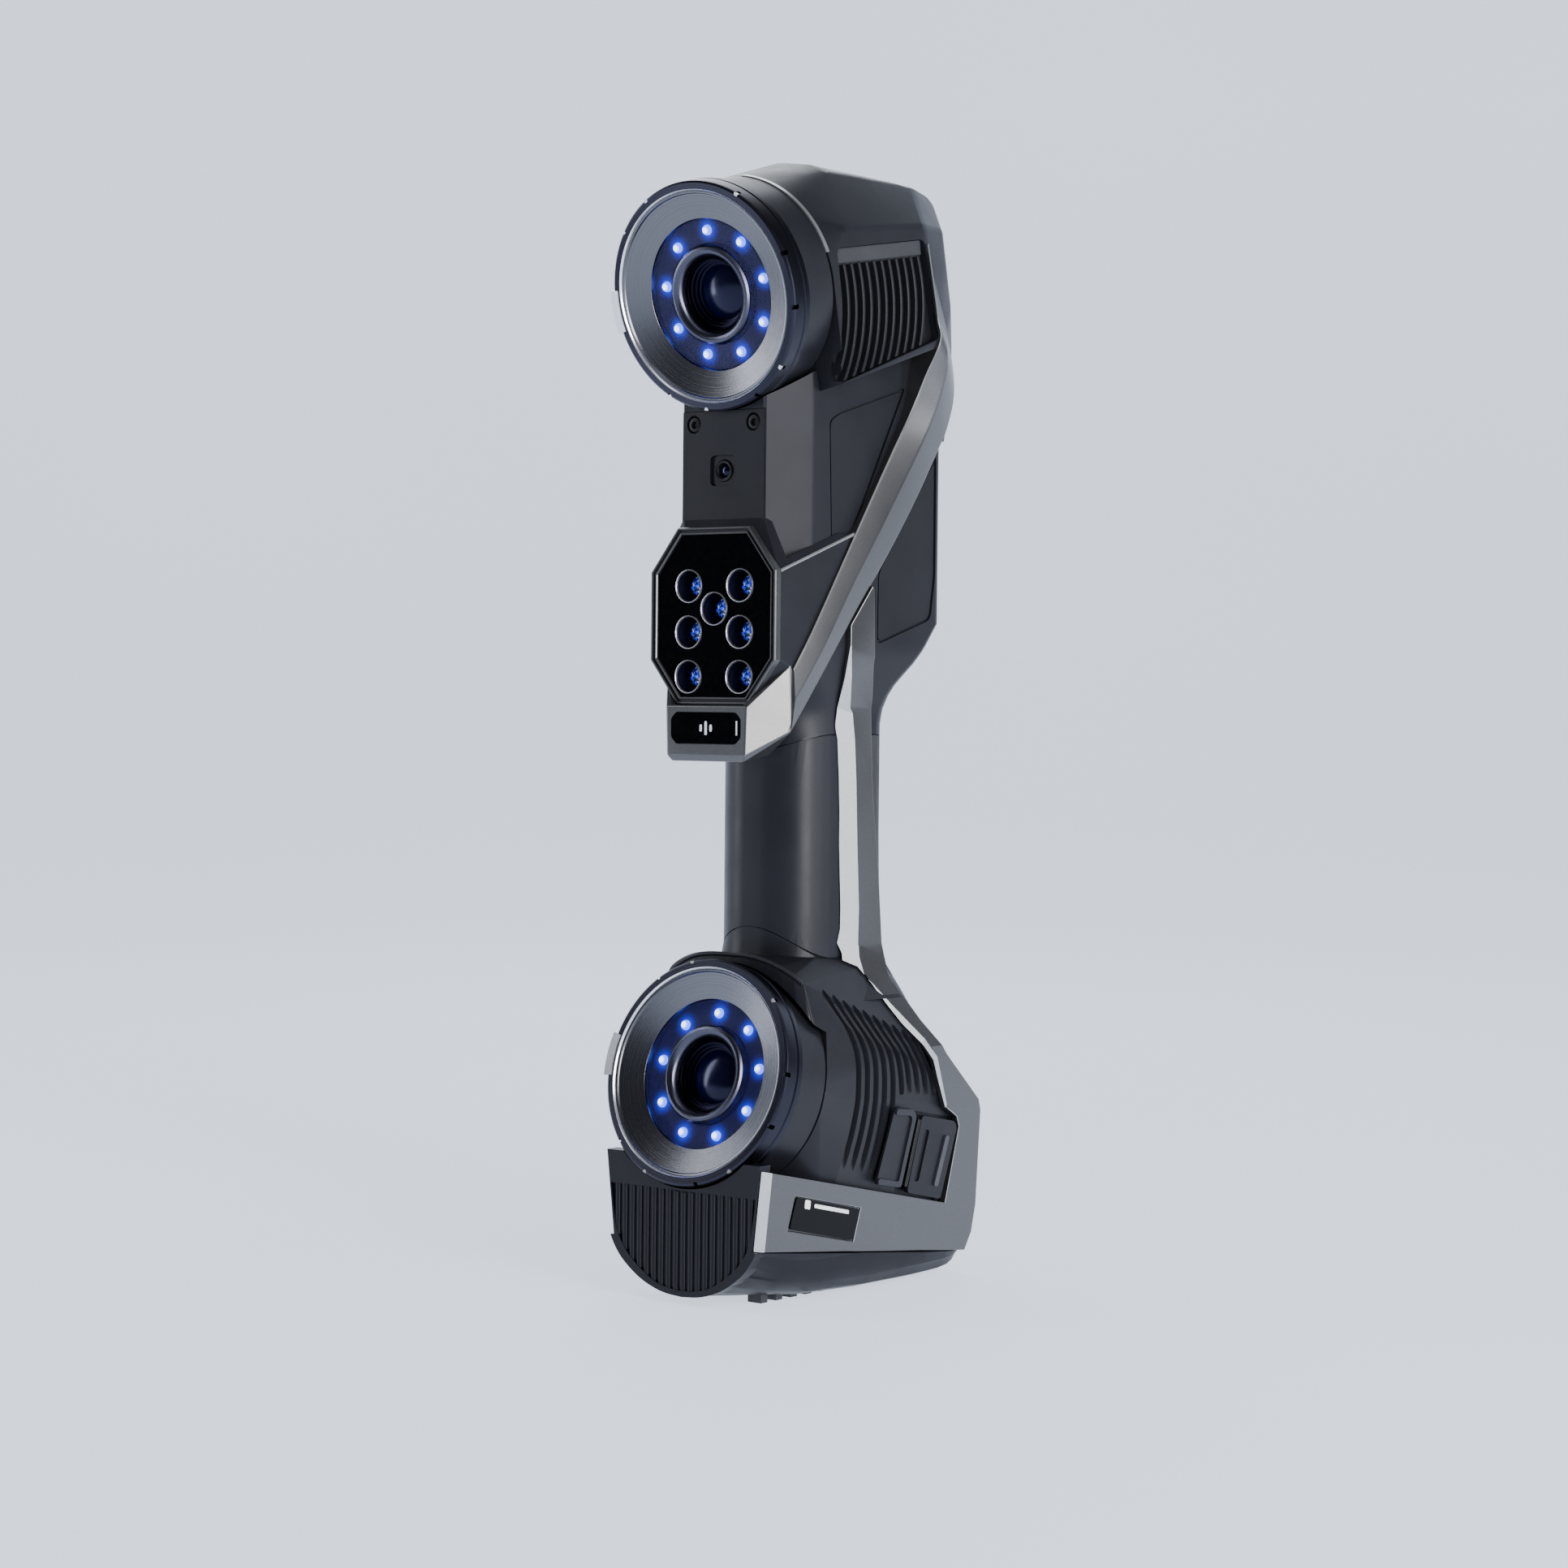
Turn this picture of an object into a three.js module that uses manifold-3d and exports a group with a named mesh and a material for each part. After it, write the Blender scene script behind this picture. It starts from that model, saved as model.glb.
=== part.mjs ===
// A handheld two-camera laser scanner, built as the separate pieces it comes apart into.
// Units are millimetres: -Y is the way the cameras look, +Z is up and +X is the side with the port door.
// Right and left are those of someone who faces the cameras, except on the rear keys, which are named
// for the operator behind the scanner.
import * as THREE from 'three';
import { ConvexGeometry } from 'three/addons/geometries/ConvexGeometry.js';
import { mergeVertices } from 'three/addons/utils/BufferGeometryUtils.js';
import Module from 'manifold-3d';

const wasm = await Module();
wasm.setup();

// ---------------------------------------------------------------- driving dimensions
const GAP = 0.3; // clearance left between neighbouring pieces
const WALL = 3; // wall of the moulded shells
const ROUND = 24; // sides of a turned piece

const TILT = THREE.MathUtils.degToRad(13.84); // how far each camera leans towards the other
const CAMERA_Z = 146.3; // height of each camera's lamp plane above the middle
const CAMERA_Y = -43.9; // depth of the lamp plane
const BEZEL_R = 43.2;
const BEZEL_SIDES = 36;
const BARREL_R = 41.6;
const BARREL_END = 21; // where the barrel meets the shell, measured along the optical axis
const LAMPS = 9;
const LAMP_CIRCLE_R = 23.8;
const LAMP_R = 2.2;
const NOTCHES = 9;

const SIDE_X = 28; // half width of the middle housing
const PLATE_X = 19.7; // half width of the flat front plate
const FRONT_Y = -36.4; // face of the front plate
const BACK_Y = 66.6; // back of the middle housing
const POD_X = 40; // half width of the upper pod
const GRIP_X = 24; // half width of the hand grip
const GRIP_FRONT = -17;
const GRIP_BACK = 38.5;
const GRIP_SPLIT = 12; // where the front and rear grip shells meet
const BASE_X = 36.4; // half width of the bottom cover

const FLANK_X = 41.2; // outer face of the side frames round the lower pod
const FLANK_INNER_X = 38.3;
const LEAN = THREE.MathUtils.degToRad(6.5); // how far the flanks lean inwards below LEAN_Z
const LEAN_Z = -166;

const FRAME_X = 30.35; // half width of the octagonal projector frame
const FRAME_FRONT = -42;
const FRAME_BACK = -38.9;
const LASER_R = 6.4;
const LASER_SITES = [[-12.4, 37.5], [12.4, 37.5], [0, 28.9], [-12.4, 20.1], [12.4, 20.1],
  [-12.4, 3.3], [12.4, 3.3]]; // x and z of the laser line modules

const SCREW_X = 14.4; // the front plate's two screws
const SCREW_Z = 98.8;

const KEY_FACE = 69.8; // outer face of the keys
const KEYS = [['key_scan', 0, 62, 6.5], ['key_up', 0, 77, 4.5], ['key_down', 0, 47, 4.5],
  ['key_left', 12.5, 62, 4], ['key_right', -12.5, 62, 4]]; // name, x, z, radius

const HINGE_X = 40.2; // the port door's hinge line
const HINGE_TOP = [38.2, -167];
const HINGE_FOOT = [33.4, -194];
const PIN_R = 1;

const COLORS = {
  charcoal: [0x3a3b42, 0.45, 0.1],
  dark: [0x1e1f25, 0.5, 0.1],
  silver: [0x8d8e94, 0.35, 0.7],
  machined: [0x9a9ca4, 0.25, 0.9],
  black: [0x08090c, 0.1, 0.1],
  rubber: [0x141519, 0.7, 0],
  indigo: [0x2a33a8, 0.15, 0.1],
  lamp: [0x8fa8ff, 0.3, 0],
  glass: [0x18204a, 0.05, 0.2],
  board: [0x1d4a34, 0.6, 0],
  steel: [0x8a8d92, 0.3, 0.9],
};

// ---------------------------------------------------------------- solids
const AXIS_X = new THREE.Vector3(1, 0, 0);
const AXIS_Y = new THREE.Vector3(0, 1, 0);
const AXIS_Z = new THREE.Vector3(0, 0, 1);

function signedVolume(position, index) {
  const [a, b, c] = [new THREE.Vector3(), new THREE.Vector3(), new THREE.Vector3()];
  let sum = 0;
  for (let i = 0; i < index.length; i += 3) {
    a.fromBufferAttribute(position, index[i]);
    b.fromBufferAttribute(position, index[i + 1]);
    c.fromBufferAttribute(position, index[i + 2]);
    sum += a.dot(b.cross(c));
  }
  return sum / 6;
}

// A closed three.js geometry as a solid that can be joined and cut, with its faces turned outwards.
function solid(geometry, matrix) {
  const bare = geometry.clone();
  bare.deleteAttribute('normal');
  bare.deleteAttribute('uv');
  if (matrix) bare.applyMatrix4(matrix);
  const merged = mergeVertices(bare, 1e-4);
  const faces = [];
  const all = merged.index.array;
  for (let i = 0; i < all.length; i += 3) {
    const [a, b, c] = [all[i], all[i + 1], all[i + 2]];
    if (a !== b && b !== c && c !== a) faces.push(a, b, c);
  }
  if (signedVolume(merged.attributes.position, faces) < 0) faces.reverse();
  return new wasm.Manifold(new wasm.Mesh({
    numProp: 3,
    vertProperties: new Float32Array(merged.attributes.position.array),
    triVerts: new Uint32Array(faces),
  }));
}

function geometryOf(shape) {
  const mesh = shape.getMesh();
  const geometry = new THREE.BufferGeometry();
  geometry.setAttribute('position', new THREE.BufferAttribute(mesh.vertProperties, 3));
  geometry.setIndex(new THREE.BufferAttribute(mesh.triVerts, 1));
  geometry.computeVertexNormals();
  return geometry;
}

const join = (first, ...rest) => rest.reduce((sum, next) => sum.add(next), first);
const cut = (first, ...rest) => rest.reduce((left, next) => left.subtract(next), first);

function extrude(points, depth, right, up, out, origin) {
  const shape = new THREE.Shape(points.map(([a, b]) => new THREE.Vector2(a, b)));
  const geometry = new THREE.ExtrudeGeometry(shape, { depth, bevelEnabled: false });
  const place = new THREE.Matrix4().makeBasis(right, up, out).setPosition(origin);
  return geometry.applyMatrix4(place);
}

// Outlines drawn in the side view (y, z), front view (x, z) and top view (x, y), given a thickness.
const sideGeometry = (points, x0, x1) =>
  extrude(points, x1 - x0, AXIS_Y, AXIS_Z, AXIS_X, new THREE.Vector3(x0, 0, 0));
const frontGeometry = (points, y0, y1) =>
  extrude(points, y1 - y0, AXIS_X, AXIS_Z, AXIS_Y.clone().negate(), new THREE.Vector3(0, y1, 0));
const topGeometry = (points, z0, z1) =>
  extrude(points, z1 - z0, AXIS_X, AXIS_Y, AXIS_Z, new THREE.Vector3(0, 0, z0));
const fromSide = (...args) => solid(sideGeometry(...args));
const fromFront = (...args) => solid(frontGeometry(...args));
const fromTop = (...args) => solid(topGeometry(...args));

// Turns what stands upright at a flank into the flank's leaning plane, on the side given by the sign.
function leanMatrix(side) {
  const back = new THREE.Matrix4().makeTranslation(-side * FLANK_X, 0, -LEAN_Z);
  return new THREE.Matrix4().makeTranslation(side * FLANK_X, 0, LEAN_Z)
    .multiply(new THREE.Matrix4().makeRotationY(side * LEAN)).multiply(back);
}
const leaned = (geometry, side) => solid(geometry, leanMatrix(side));

// The layer between two distances from the middle plane, on the side given by the sign.
const sideLayer = (points, inner, outer, side) =>
  (side > 0 ? sideGeometry(points, inner, outer) : sideGeometry(points, -outer, -inner));

function block(x0, x1, y0, y1, z0, z1) {
  const box = new THREE.BoxGeometry(x1 - x0, y1 - y0, z1 - z0);
  return solid(box.translate((x0 + x1) / 2, (y0 + y1) / 2, (z0 + z1) / 2));
}

// A convex solid around points, each given for +x and repeated for -x.
function hull(points) {
  const both = points.flatMap(([x, y, z]) => [new THREE.Vector3(x, y, z), new THREE.Vector3(-x, y, z)]);
  return solid(new ConvexGeometry(both));
}

// Every point moved outwards (or inwards, for a negative distance) from the middle of the set.
function grow(points, distance) {
  const box = new THREE.Box3().setFromPoints(points.map((p) => new THREE.Vector3(0, p[1], p[2])));
  const middle = box.getCenter(new THREE.Vector3()).toArray();
  const ramp = 12; // a point nearer the middle than this moves less
  const shift = (offset) => distance * THREE.MathUtils.clamp(offset / ramp, -1, 1);
  return points.map((p) => p.map((value, axis) => value + shift(value - middle[axis])));
}

// Rings with the same number of points, joined one to the next and closed at both ends.
function loft(rings) {
  const count = rings[0].length;
  const index = [];
  for (let k = 0; k + 1 < rings.length; k++) {
    for (let i = 0; i < count; i++) {
      const [a, b] = [k * count + i, k * count + ((i + 1) % count)];
      index.push(a, b, b + count, a, b + count, a + count);
    }
  }
  const last = (rings.length - 1) * count;
  for (let i = 1; i + 1 < count; i++) index.push(0, i + 1, i, last, last + i, last + i + 1);
  const geometry = new THREE.BufferGeometry();
  geometry.setAttribute('position', new THREE.Float32BufferAttribute(rings.flat(2), 3));
  return solid(geometry.setIndex(index));
}

// Corners of an outline replaced by arcs.
function rounded(points, radius, steps = 4) {
  const path = [];
  points.forEach((p, i) => {
    const corner = new THREE.Vector2(...p);
    const before = new THREE.Vector2(...points[(i + points.length - 1) % points.length]);
    const after = new THREE.Vector2(...points[(i + 1) % points.length]);
    const into = before.sub(corner);
    const away = after.sub(corner);
    const reach = Math.min(radius, into.length() * 0.45, away.length() * 0.45);
    const start = into.setLength(reach).add(corner);
    const end = away.setLength(reach).add(corner);
    const curve = new THREE.QuadraticBezierCurve(start, corner, end);
    curve.getPoints(steps).forEach((q) => path.push([q.x, q.y]));
  });
  return path;
}

const mirrored = (points) => [...points, ...points.map(([a, b]) => [-a, b]).reverse()];

// A turned solid from its closed (radius, distance along the axis) profile.
function turnedGeometry(profile, sides = ROUND) {
  const points = [...profile, profile[0]].map(([r, d]) => new THREE.Vector2(r, d));
  return new THREE.LatheGeometry(points, sides);
}

// A turned solid whose profile starts and ends on the axis.
function turnedSolidGeometry(profile, sides = ROUND) {
  return new THREE.LatheGeometry(profile.map(([r, d]) => new THREE.Vector2(r, d)), sides);
}

const along = (direction, x, y, z) => new THREE.Matrix4()
  .makeRotationFromQuaternion(new THREE.Quaternion().setFromUnitVectors(AXIS_Y, direction))
  .setPosition(x, y, z);

// A cylinder pointing along +Y from y0 to y1.
function rodY(x, z, r, y0, y1, sides = 14) {
  const rod = new THREE.CylinderGeometry(r, r, y1 - y0, sides);
  return solid(rod.translate(x, (y0 + y1) / 2, z));
}

// ---------------------------------------------------------------- the two cameras' frames
// In a camera's own frame, x is across, y is the distance back along the optical axis, z is up.
function cameraFrame(side) {
  const back = new THREE.Vector3(0, Math.cos(TILT), side * Math.sin(TILT));
  const up = new THREE.Vector3(0, -side * Math.sin(TILT), Math.cos(TILT));
  return new THREE.Matrix4().makeBasis(AXIS_X, back, up).setPosition(0, CAMERA_Y, side * CAMERA_Z);
}
const UPPER = cameraFrame(1);
const LOWER = cameraFrame(-1);

function cameraCylinder(frame, r, d0, d1, sides = ROUND) {
  const geometry = new THREE.CylinderGeometry(r, r, d1 - d0, sides);
  return solid(geometry.translate(0, (d0 + d1) / 2, 0), frame);
}

function cameraCircle(frame, r, d, count) {
  const points = [];
  for (let i = 0; i <= count / 2; i++) {
    const angle = (Math.PI * 2 * i) / count;
    const p = new THREE.Vector3(r * Math.sin(angle), d, r * Math.cos(angle)).applyMatrix4(frame);
    points.push([Math.max(p.x, 0), p.y, p.z]);
  }
  return points;
}

// ---------------------------------------------------------------- camera pieces, in a camera's frame
function bezelRing() {
  const ring = solid(turnedGeometry([[28.4, -0.9], [38.4, -4.6], [39.1, -6], [42.5, -6],
    [BEZEL_R, -5.2], [BEZEL_R, 4], [39.6, 4], [39.6, 2.2], [28.4, 2.2]], BEZEL_SIDES));
  const notch = new THREE.BoxGeometry(3, 4, 2.4).translate(0, -5, BEZEL_R);
  const cuts = [];
  for (let i = 0; i < NOTCHES; i++) {
    const turn = new THREE.Matrix4().makeRotationY((Math.PI * 2 * (i + 0.5)) / NOTCHES);
    cuts.push(solid(notch, turn));
  }
  return cut(ring, ...cuts);
}

function cameraBarrel() {
  const end = BARREL_END;
  return solid(turnedGeometry([[36.8, 4.3], [BARREL_R, 4.3], [BARREL_R, end], [37, end], [37, 25],
    [34.5, 25], [34.5, 12], [18.9, 12], [18.9, 9.5], [36.8, 9.5]]));
}

const ledWindow = () => solid(turnedGeometry([[18.9, -0.9], [28.1, -0.9], [28.1, 0.7], [18.9, 0.7]]));

function ledBoard() {
  const board = solid(turnedGeometry([[19.2, 3], [36.4, 3], [36.4, 4.6], [19.2, 4.6]]));
  const lamp = turnedSolidGeometry([[0, 1.1], [LAMP_R * 0.7, 1.5], [LAMP_R, 2.4], [LAMP_R, 3.8],
    [0, 3.8]], 8);
  const lamps = [];
  for (let i = 0; i < LAMPS; i++) {
    const angle = (Math.PI * 2 * i) / LAMPS;
    const site = [LAMP_CIRCLE_R * Math.sin(angle), 0, LAMP_CIRCLE_R * Math.cos(angle)];
    lamps.push(solid(lamp, new THREE.Matrix4().makeTranslation(...site)));
  }
  return join(board, ...lamps);
}

const lensTrimRing = () => solid(turnedGeometry([[13.7, 1.2], [14.6, -0.2], [17.4, -1.6],
  [18.5, -0.9], [18.5, 9.2], [13.7, 9.2]]));

const lensGlass = () => solid(turnedSolidGeometry([[0, 5.4], [5, 5.9], [9.5, 7], [13.2, 8.4],
  [13.2, 9.2], [0, 9.2]], 16));

function cameraModule() {
  const barrel = solid(turnedSolidGeometry([[0, 30], [12.6, 30], [12.6, 9.6], [18.4, 9.6],
    [18.4, 16], [16.5, 16.5], [16.5, 44], [0, 44]], 18));
  return join(barrel, block(-17, 17, 43.5, 54, -17, 17));
}

// ---------------------------------------------------------------- shared outer forms
const podPoints = [
  ...cameraCircle(UPPER, 41.6, BARREL_END + GAP, 24),
  [0, -3, 201], [13, -3, 199.2], [23, -3, 195.8], [24, 49, 196.2], [22, 61, 194.6], [22, 66.5, 191.5],
  [POD_X, -13, 171.5], [POD_X, 36, 178], [36.5, 53, 178], [28.5, 61, 180],
  [35, 61, 150], [28, 70.6, 144], [28, 71.8, 128], [28, 70.6, 112], [28, 66.8, 97.5],
  [POD_X, -13, 112.6], [POD_X, 46.5, 134.8], [38, 54, 136], [SIDE_X, -11, 102],
];
// The space under the pod, whose floor rises towards the back: x, y and z along its upper edges.
const underPodEdges = [[SIDE_X, -60, 87.3], [SIDE_X, 52, 122], [50, -60, 100.5], [50, 52, 147]];
function underPod(distance) {
  const post = ([x, y, z]) => [[x, y - distance, z - distance], [x, y - distance, 70]];
  const opposite = ([x, y, z]) => [-x, y, z];
  const middle = underPodEdges.slice(0, 2);
  return join(
    hull([...middle, ...middle.map(opposite)].flatMap(post)),
    hull(underPodEdges.flatMap(post)),
    hull(underPodEdges.map(opposite).flatMap(post)),
  );
}
const pod = (distance = 0) => cut(hull(grow(podPoints, distance)), underPod(distance));

const projectorPoints = [
  [17, -38.6, 59.3], [29.9, -38.6, 42.7], [29.9, -38.6, 10], [17, -38.6, -6.8],
  [PLATE_X, -35.8, 63.6], [27.8, -17, 53], [29.7, 5.6, 58], [29.7, -16.9, 23.4], [29.7, -30.6, 6.6],
];
const projectorForm = (distance = 0) => hull(grow(projectorPoints, distance));

const chinPoints = [
  [19.4, -45.3, -8], [18.8, -45.3, -26.4], [17.4, -44, -28.6], [30, -32, 8], [30, -30.8, 6],
  [30, -30.8, -16.8], [17, -28, -26], [28, -28.5, -14],
];
const chinForm = (distance = 0) => hull(grow(chinPoints, distance));

const basePoints = [
  ...cameraCircle(LOWER, 41.6, BARREL_END + GAP, 24),
  [33, -26, -111.5], [POD_X, -12, -139], [POD_X, -11.5, -152], [36, -17, -184],
  [24, -8, -103], [24, 36, -106], [31, 34, -125], [37.8, 46, -138.5], [37.8, 54, -150],
  [37, 76, -166], [32.5, 80, -206], [24, 81, -186], [33, 55, -206], [33, -14, -206],
];
const baseForm = (distance = 0) => hull(grow(basePoints, distance));

const octagon = (halfWidth, chamfer, top, bottom) =>
  mirrored([[halfWidth - chamfer, top], [halfWidth, top - chamfer * 1.27],
    [halfWidth, bottom + chamfer * 1.27], [halfWidth - chamfer, bottom]]);

// Horizontal section of the grip: a rounded front, tighter rear corners.
function gripRing(z, halfWidth, front, back, frontR = 20, backR = 10) {
  const quarter = 4;
  const ring = [];
  const arc = (cx, cy, r, from) => {
    for (let i = 0; i <= quarter; i++) {
      const angle = from + (Math.PI / 2) * (i / quarter);
      ring.push([cx + r * Math.cos(angle), cy + r * Math.sin(angle), z]);
    }
  };
  arc(halfWidth - backR, back - backR, backR, 0);
  arc(backR - halfWidth, back - backR, backR, Math.PI / 2);
  arc(frontR - halfWidth, front + frontR, frontR, Math.PI);
  arc(halfWidth - frontR, front + frontR, frontR, Math.PI * 1.5);
  return ring;
}

function gripForm(inset = 0) {
  const ring = (z, back) => gripRing(z, GRIP_X - inset, GRIP_FRONT + inset, back - inset,
    20 - inset, 10 - inset);
  return loft([ring(-112, 41), ring(-100, 40), ring(-60, GRIP_BACK), ring(-14, GRIP_BACK)]);
}

// The curved seams at the two ends of the grip, as front-view curves.
const upperSeam = (x) => -24 + 6 * (x / GRIP_X) ** 2;
const lowerSeam = (x) => -92 - 12 * (x / GRIP_X) ** 2;
function besideSeam(seam, offset, limitZ) {
  const reach = 30;
  const line = [];
  for (let x = -reach; x <= reach; x += 5) line.push([x, seam(x) + offset]);
  return fromFront([...line, [reach, limitZ], [-reach, limitZ]], -60, 90);
}

// ---------------------------------------------------------------- upper pod
const ventOutline = [[-18, 162.8], [34, 172.2], [45.2, 136], [-12.5, 115]];
const finTopSlope = (172.2 - 162.8) / (34 + 18);

function upperShell() {
  const vent = rounded(ventOutline, 2, 2);
  return cut(
    pod(),
    pod(-WALL),
    cameraCylinder(UPPER, 37.4, 0, 25.6),
    cameraCylinder(UPPER, 32, 20, 60),
    fromSide(vent, 35.2, 50),
    fromSide(vent, -50, -35.2),
    block(-20, 20, -8, 56, 90, 112),
    topPassage(),
  );
}

// The opening in the pod's floor that the spine and the wiring pass through.
const topPassage = () => block(-23, 23, 2, 52, 96, 135);

function upperFins(side) {
  const [low, high] = side > 0 ? [35.5, 37] : [-37, -35.5];
  const [tipLow, tipHigh] = side > 0 ? [36.5, 39.4] : [-39.4, -36.5];
  const inset = [[-17.2, 158.5], [33.4, 158.5 + 50.6 * finTopSlope], [44.2, 136.3], [-11.9, 115.9]];
  const window = (x0, x1) => fromSide(inset, x0, x1);
  const pitch = 4.7;
  const bow = 51; // radius of each fin's curve
  const fins = [];
  for (let i = 0; i < 11; i++) {
    const [y, z] = [-12.8 + i * pitch, 140 + i * 0.45];
    const outer = [];
    const inner = [];
    for (let k = -2; k <= 2; k++) {
      const angle = (k / 2) * 0.6;
      outer.push([y - bow + (bow + 1) * Math.cos(angle), z + (bow + 1) * Math.sin(angle)]);
      inner.push([y - bow + (bow - 1) * Math.cos(angle), z + (bow - 1) * Math.sin(angle)]);
    }
    fins.push(fromSide([...outer, ...inner.reverse()], tipLow, tipHigh));
  }
  const blades = join(...fins).intersect(window(tipLow, tipHigh));
  return join(window(low, high), blades);
}

// ---------------------------------------------------------------- middle housing
const planOutline = [[PLATE_X, FRONT_Y], [SIDE_X, -17], [SIDE_X, 61], [23, BACK_Y]];
const sideOutline = [[FRONT_Y, 130], [FRONT_Y, 0], [-30, -17], [-20, -20], [-18, -8], [38, -8],
  [39.5, -4], [44, 1.5], [53, 9], [BACK_Y, 25.5], [BACK_Y, 97], [70, 130]];
const panelAbove = [[41, 116.4], [-3, 102.8], [-6.8, 99], [-5.2, 30], [2, 48]];
const panelBelow = [[62.4, 90], [62.4, 40], [59.5, 27], [24.2, 16.5], [24.4, 44.5]];
const cavityPlan = [[16, FRONT_Y + WALL], [SIDE_X - WALL, -14], [SIDE_X - WALL, 60],
  [21, BACK_Y - WALL]];

function middleHousing() {
  const body = fromTop(mirrored(planOutline), -30, 130).intersect(fromSide(sideOutline, -40, 40));
  const neck = loft([gripRing(-30, GRIP_X, GRIP_FRONT, GRIP_BACK),
    gripRing(-10, GRIP_X, GRIP_FRONT - 0.5, GRIP_BACK + 0.3),
    gripRing(4, 26.5, -22, 45, 12, 8), gripRing(16, SIDE_X - 0.1, -24, 54, 8, 6)]);
  const waistOutline = mirrored([[SIDE_X, 130], [SIDE_X, 14], [GRIP_X, -9], [GRIP_X, -30]]);
  const waist = fromFront(waistOutline, -60, 90);
  const cavity = fromTop(mirrored(cavityPlan), -4, 128);
  const cavitySide = fromSide([[FRONT_Y + WALL, 128], [FRONT_Y + WALL, 4], [-8, -4], [38, -4],
    [41, 4], [50.5, 13], [BACK_Y - WALL, 28], [BACK_Y - WALL, 128]], -40, 40);
  const neckBore = fromTop(rounded(mirrored([[19, -12], [19, 34]]), 8, 3), -40, 0);
  const panels = [-1, 1].flatMap((side) => [panelAbove, panelBelow].map((outline) =>
    (side > 0 ? fromSide(outline, SIDE_X - 0.9, 40) : fromSide(outline, -40, 0.9 - SIDE_X))));
  return cut(
    join(body, neck).intersect(waist).intersect(besideSeam(upperSeam, 0, 140)),
    cavity.intersect(cavitySide),
    neckBore,
    pod(0.5),
    cameraCylinder(UPPER, BEZEL_R + 0.6, -12, BARREL_END + 1),
    projectorForm(0.5),
    chinForm(0.5),
    block(-20.4, 20.4, -32, -17.6, -3.6, 48.4),
    block(-PLATE_X - GAP, PLATE_X + GAP, FRONT_Y - 5, FRONT_Y + 2.6, 50, 103.8),
    block(-11, 11, FRONT_Y, -24, 71, 91),
    rodY(-SCREW_X, SCREW_Z, 1.9, FRONT_Y, -26, 10),
    rodY(SCREW_X, SCREW_Z, 1.9, FRONT_Y, -26, 10),
    block(-19.3, 19.3, 60, 80, 36.7, 90.3),
    ...panels,
  );
}

function frontPlate() {
  const [front, back] = [FRONT_Y, FRONT_Y + 2.3];
  const plate = block(-PLATE_X, PLATE_X, front, back, 64.3, 103.5);
  const recess = frontGeometry(rounded([[-6, 75.5], [6, 75.5], [6, 86.5], [-6, 86.5]], 2, 2),
    front - 1, front + 0.9);
  return cut(
    plate,
    solid(recess),
    rodY(0, 81, 4.3, front - 1, back + 1),
    rodY(-SCREW_X, SCREW_Z, 3.5, front - 1, front + 1.2, 16),
    rodY(SCREW_X, SCREW_Z, 3.5, front - 1, front + 1.2, 16),
    rodY(-SCREW_X, SCREW_Z, 1.8, front - 1, back + 1, 10),
    rodY(SCREW_X, SCREW_Z, 1.8, front - 1, back + 1, 10),
    cameraCylinder(UPPER, BEZEL_R + 0.4, -12, BARREL_END),
  );
}

function plateScrew(x) {
  const head = rodY(x, SCREW_Z, 3.1, FRONT_Y + 0.2, FRONT_Y + 0.9, 16);
  const shank = rodY(x, SCREW_Z, 1.5, FRONT_Y + 0.5, -28, 10);
  const socket = rodY(x, SCREW_Z, 1.4, FRONT_Y - 1, FRONT_Y + 0.6, 6);
  return cut(join(head, shank), socket);
}

// The small camera that finds the scanner's place: a square body with its lens in a short snout.
function alignmentCamera() {
  const snout = cut(rodY(0, 81, 4, FRONT_Y + 0.4, -32), rodY(0, 81, 2.9, FRONT_Y - 1, -33.6, 16));
  const lens = turnedSolidGeometry([[0, 0], [1.6, 0.3], [2.4, 1.2], [2.4, 4], [0, 4]], 16);
  return join(snout, block(-9, 9, -33.2, -25, 73, 89), solid(lens.translate(0, FRONT_Y + 1.2, 81)));
}

// ---------------------------------------------------------------- laser projector
function projectorHousing() {
  return cut(
    projectorForm(),
    block(-26.5, 26.5, -36, 20, -1, 50),
    block(-22, 22, -36, 20, -4, 60),
    block(-SIDE_X - 0.4, SIDE_X + 0.4, -16, 20, -10, 70),
    fromTop(mirrored([[PLATE_X - 2, FRONT_Y + 3], [SIDE_X - 2, -15], [10, -15]]), 40, 70),
    ...LASER_SITES.map(([x, z]) => rodY(x, z, LASER_R + 0.4, -40, -30)),
    chinForm(0.5),
  );
}

function projectorFrame() {
  const outer = fromFront(octagon(FRAME_X, 13.1, 59.6, -7.1), FRAME_FRONT, FRAME_BACK);
  const inner = fromFront(octagon(27.8, 12.2, 57.4, -4.9), FRAME_FRONT - 1, FRAME_BACK + 1);
  return cut(outer, inner);
}

function projectorWindow() {
  const glass = fromFront(octagon(27.5, 12.1, 57.1, -4.6), -40.6, -38.9);
  return cut(glass, ...LASER_SITES.map(([x, z]) => rodY(x, z, LASER_R + GAP, -42, -38)));
}

const laserModule = ([x, z]) => solid(
  turnedSolidGeometry([[0, 7.5], [3.6, 7], [5.4, 6], [5.4, 0.4], [5.8, 0], [LASER_R, 0.4],
    [LASER_R, 12], [0, 12]], 14).translate(x, -41.2, z),
);

const laserBlock = () => join(
  block(-20, 20, -28.6, -18, 0, 48),
  block(-17, 17, -18.5, -6, 8, 44),
);

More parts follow.
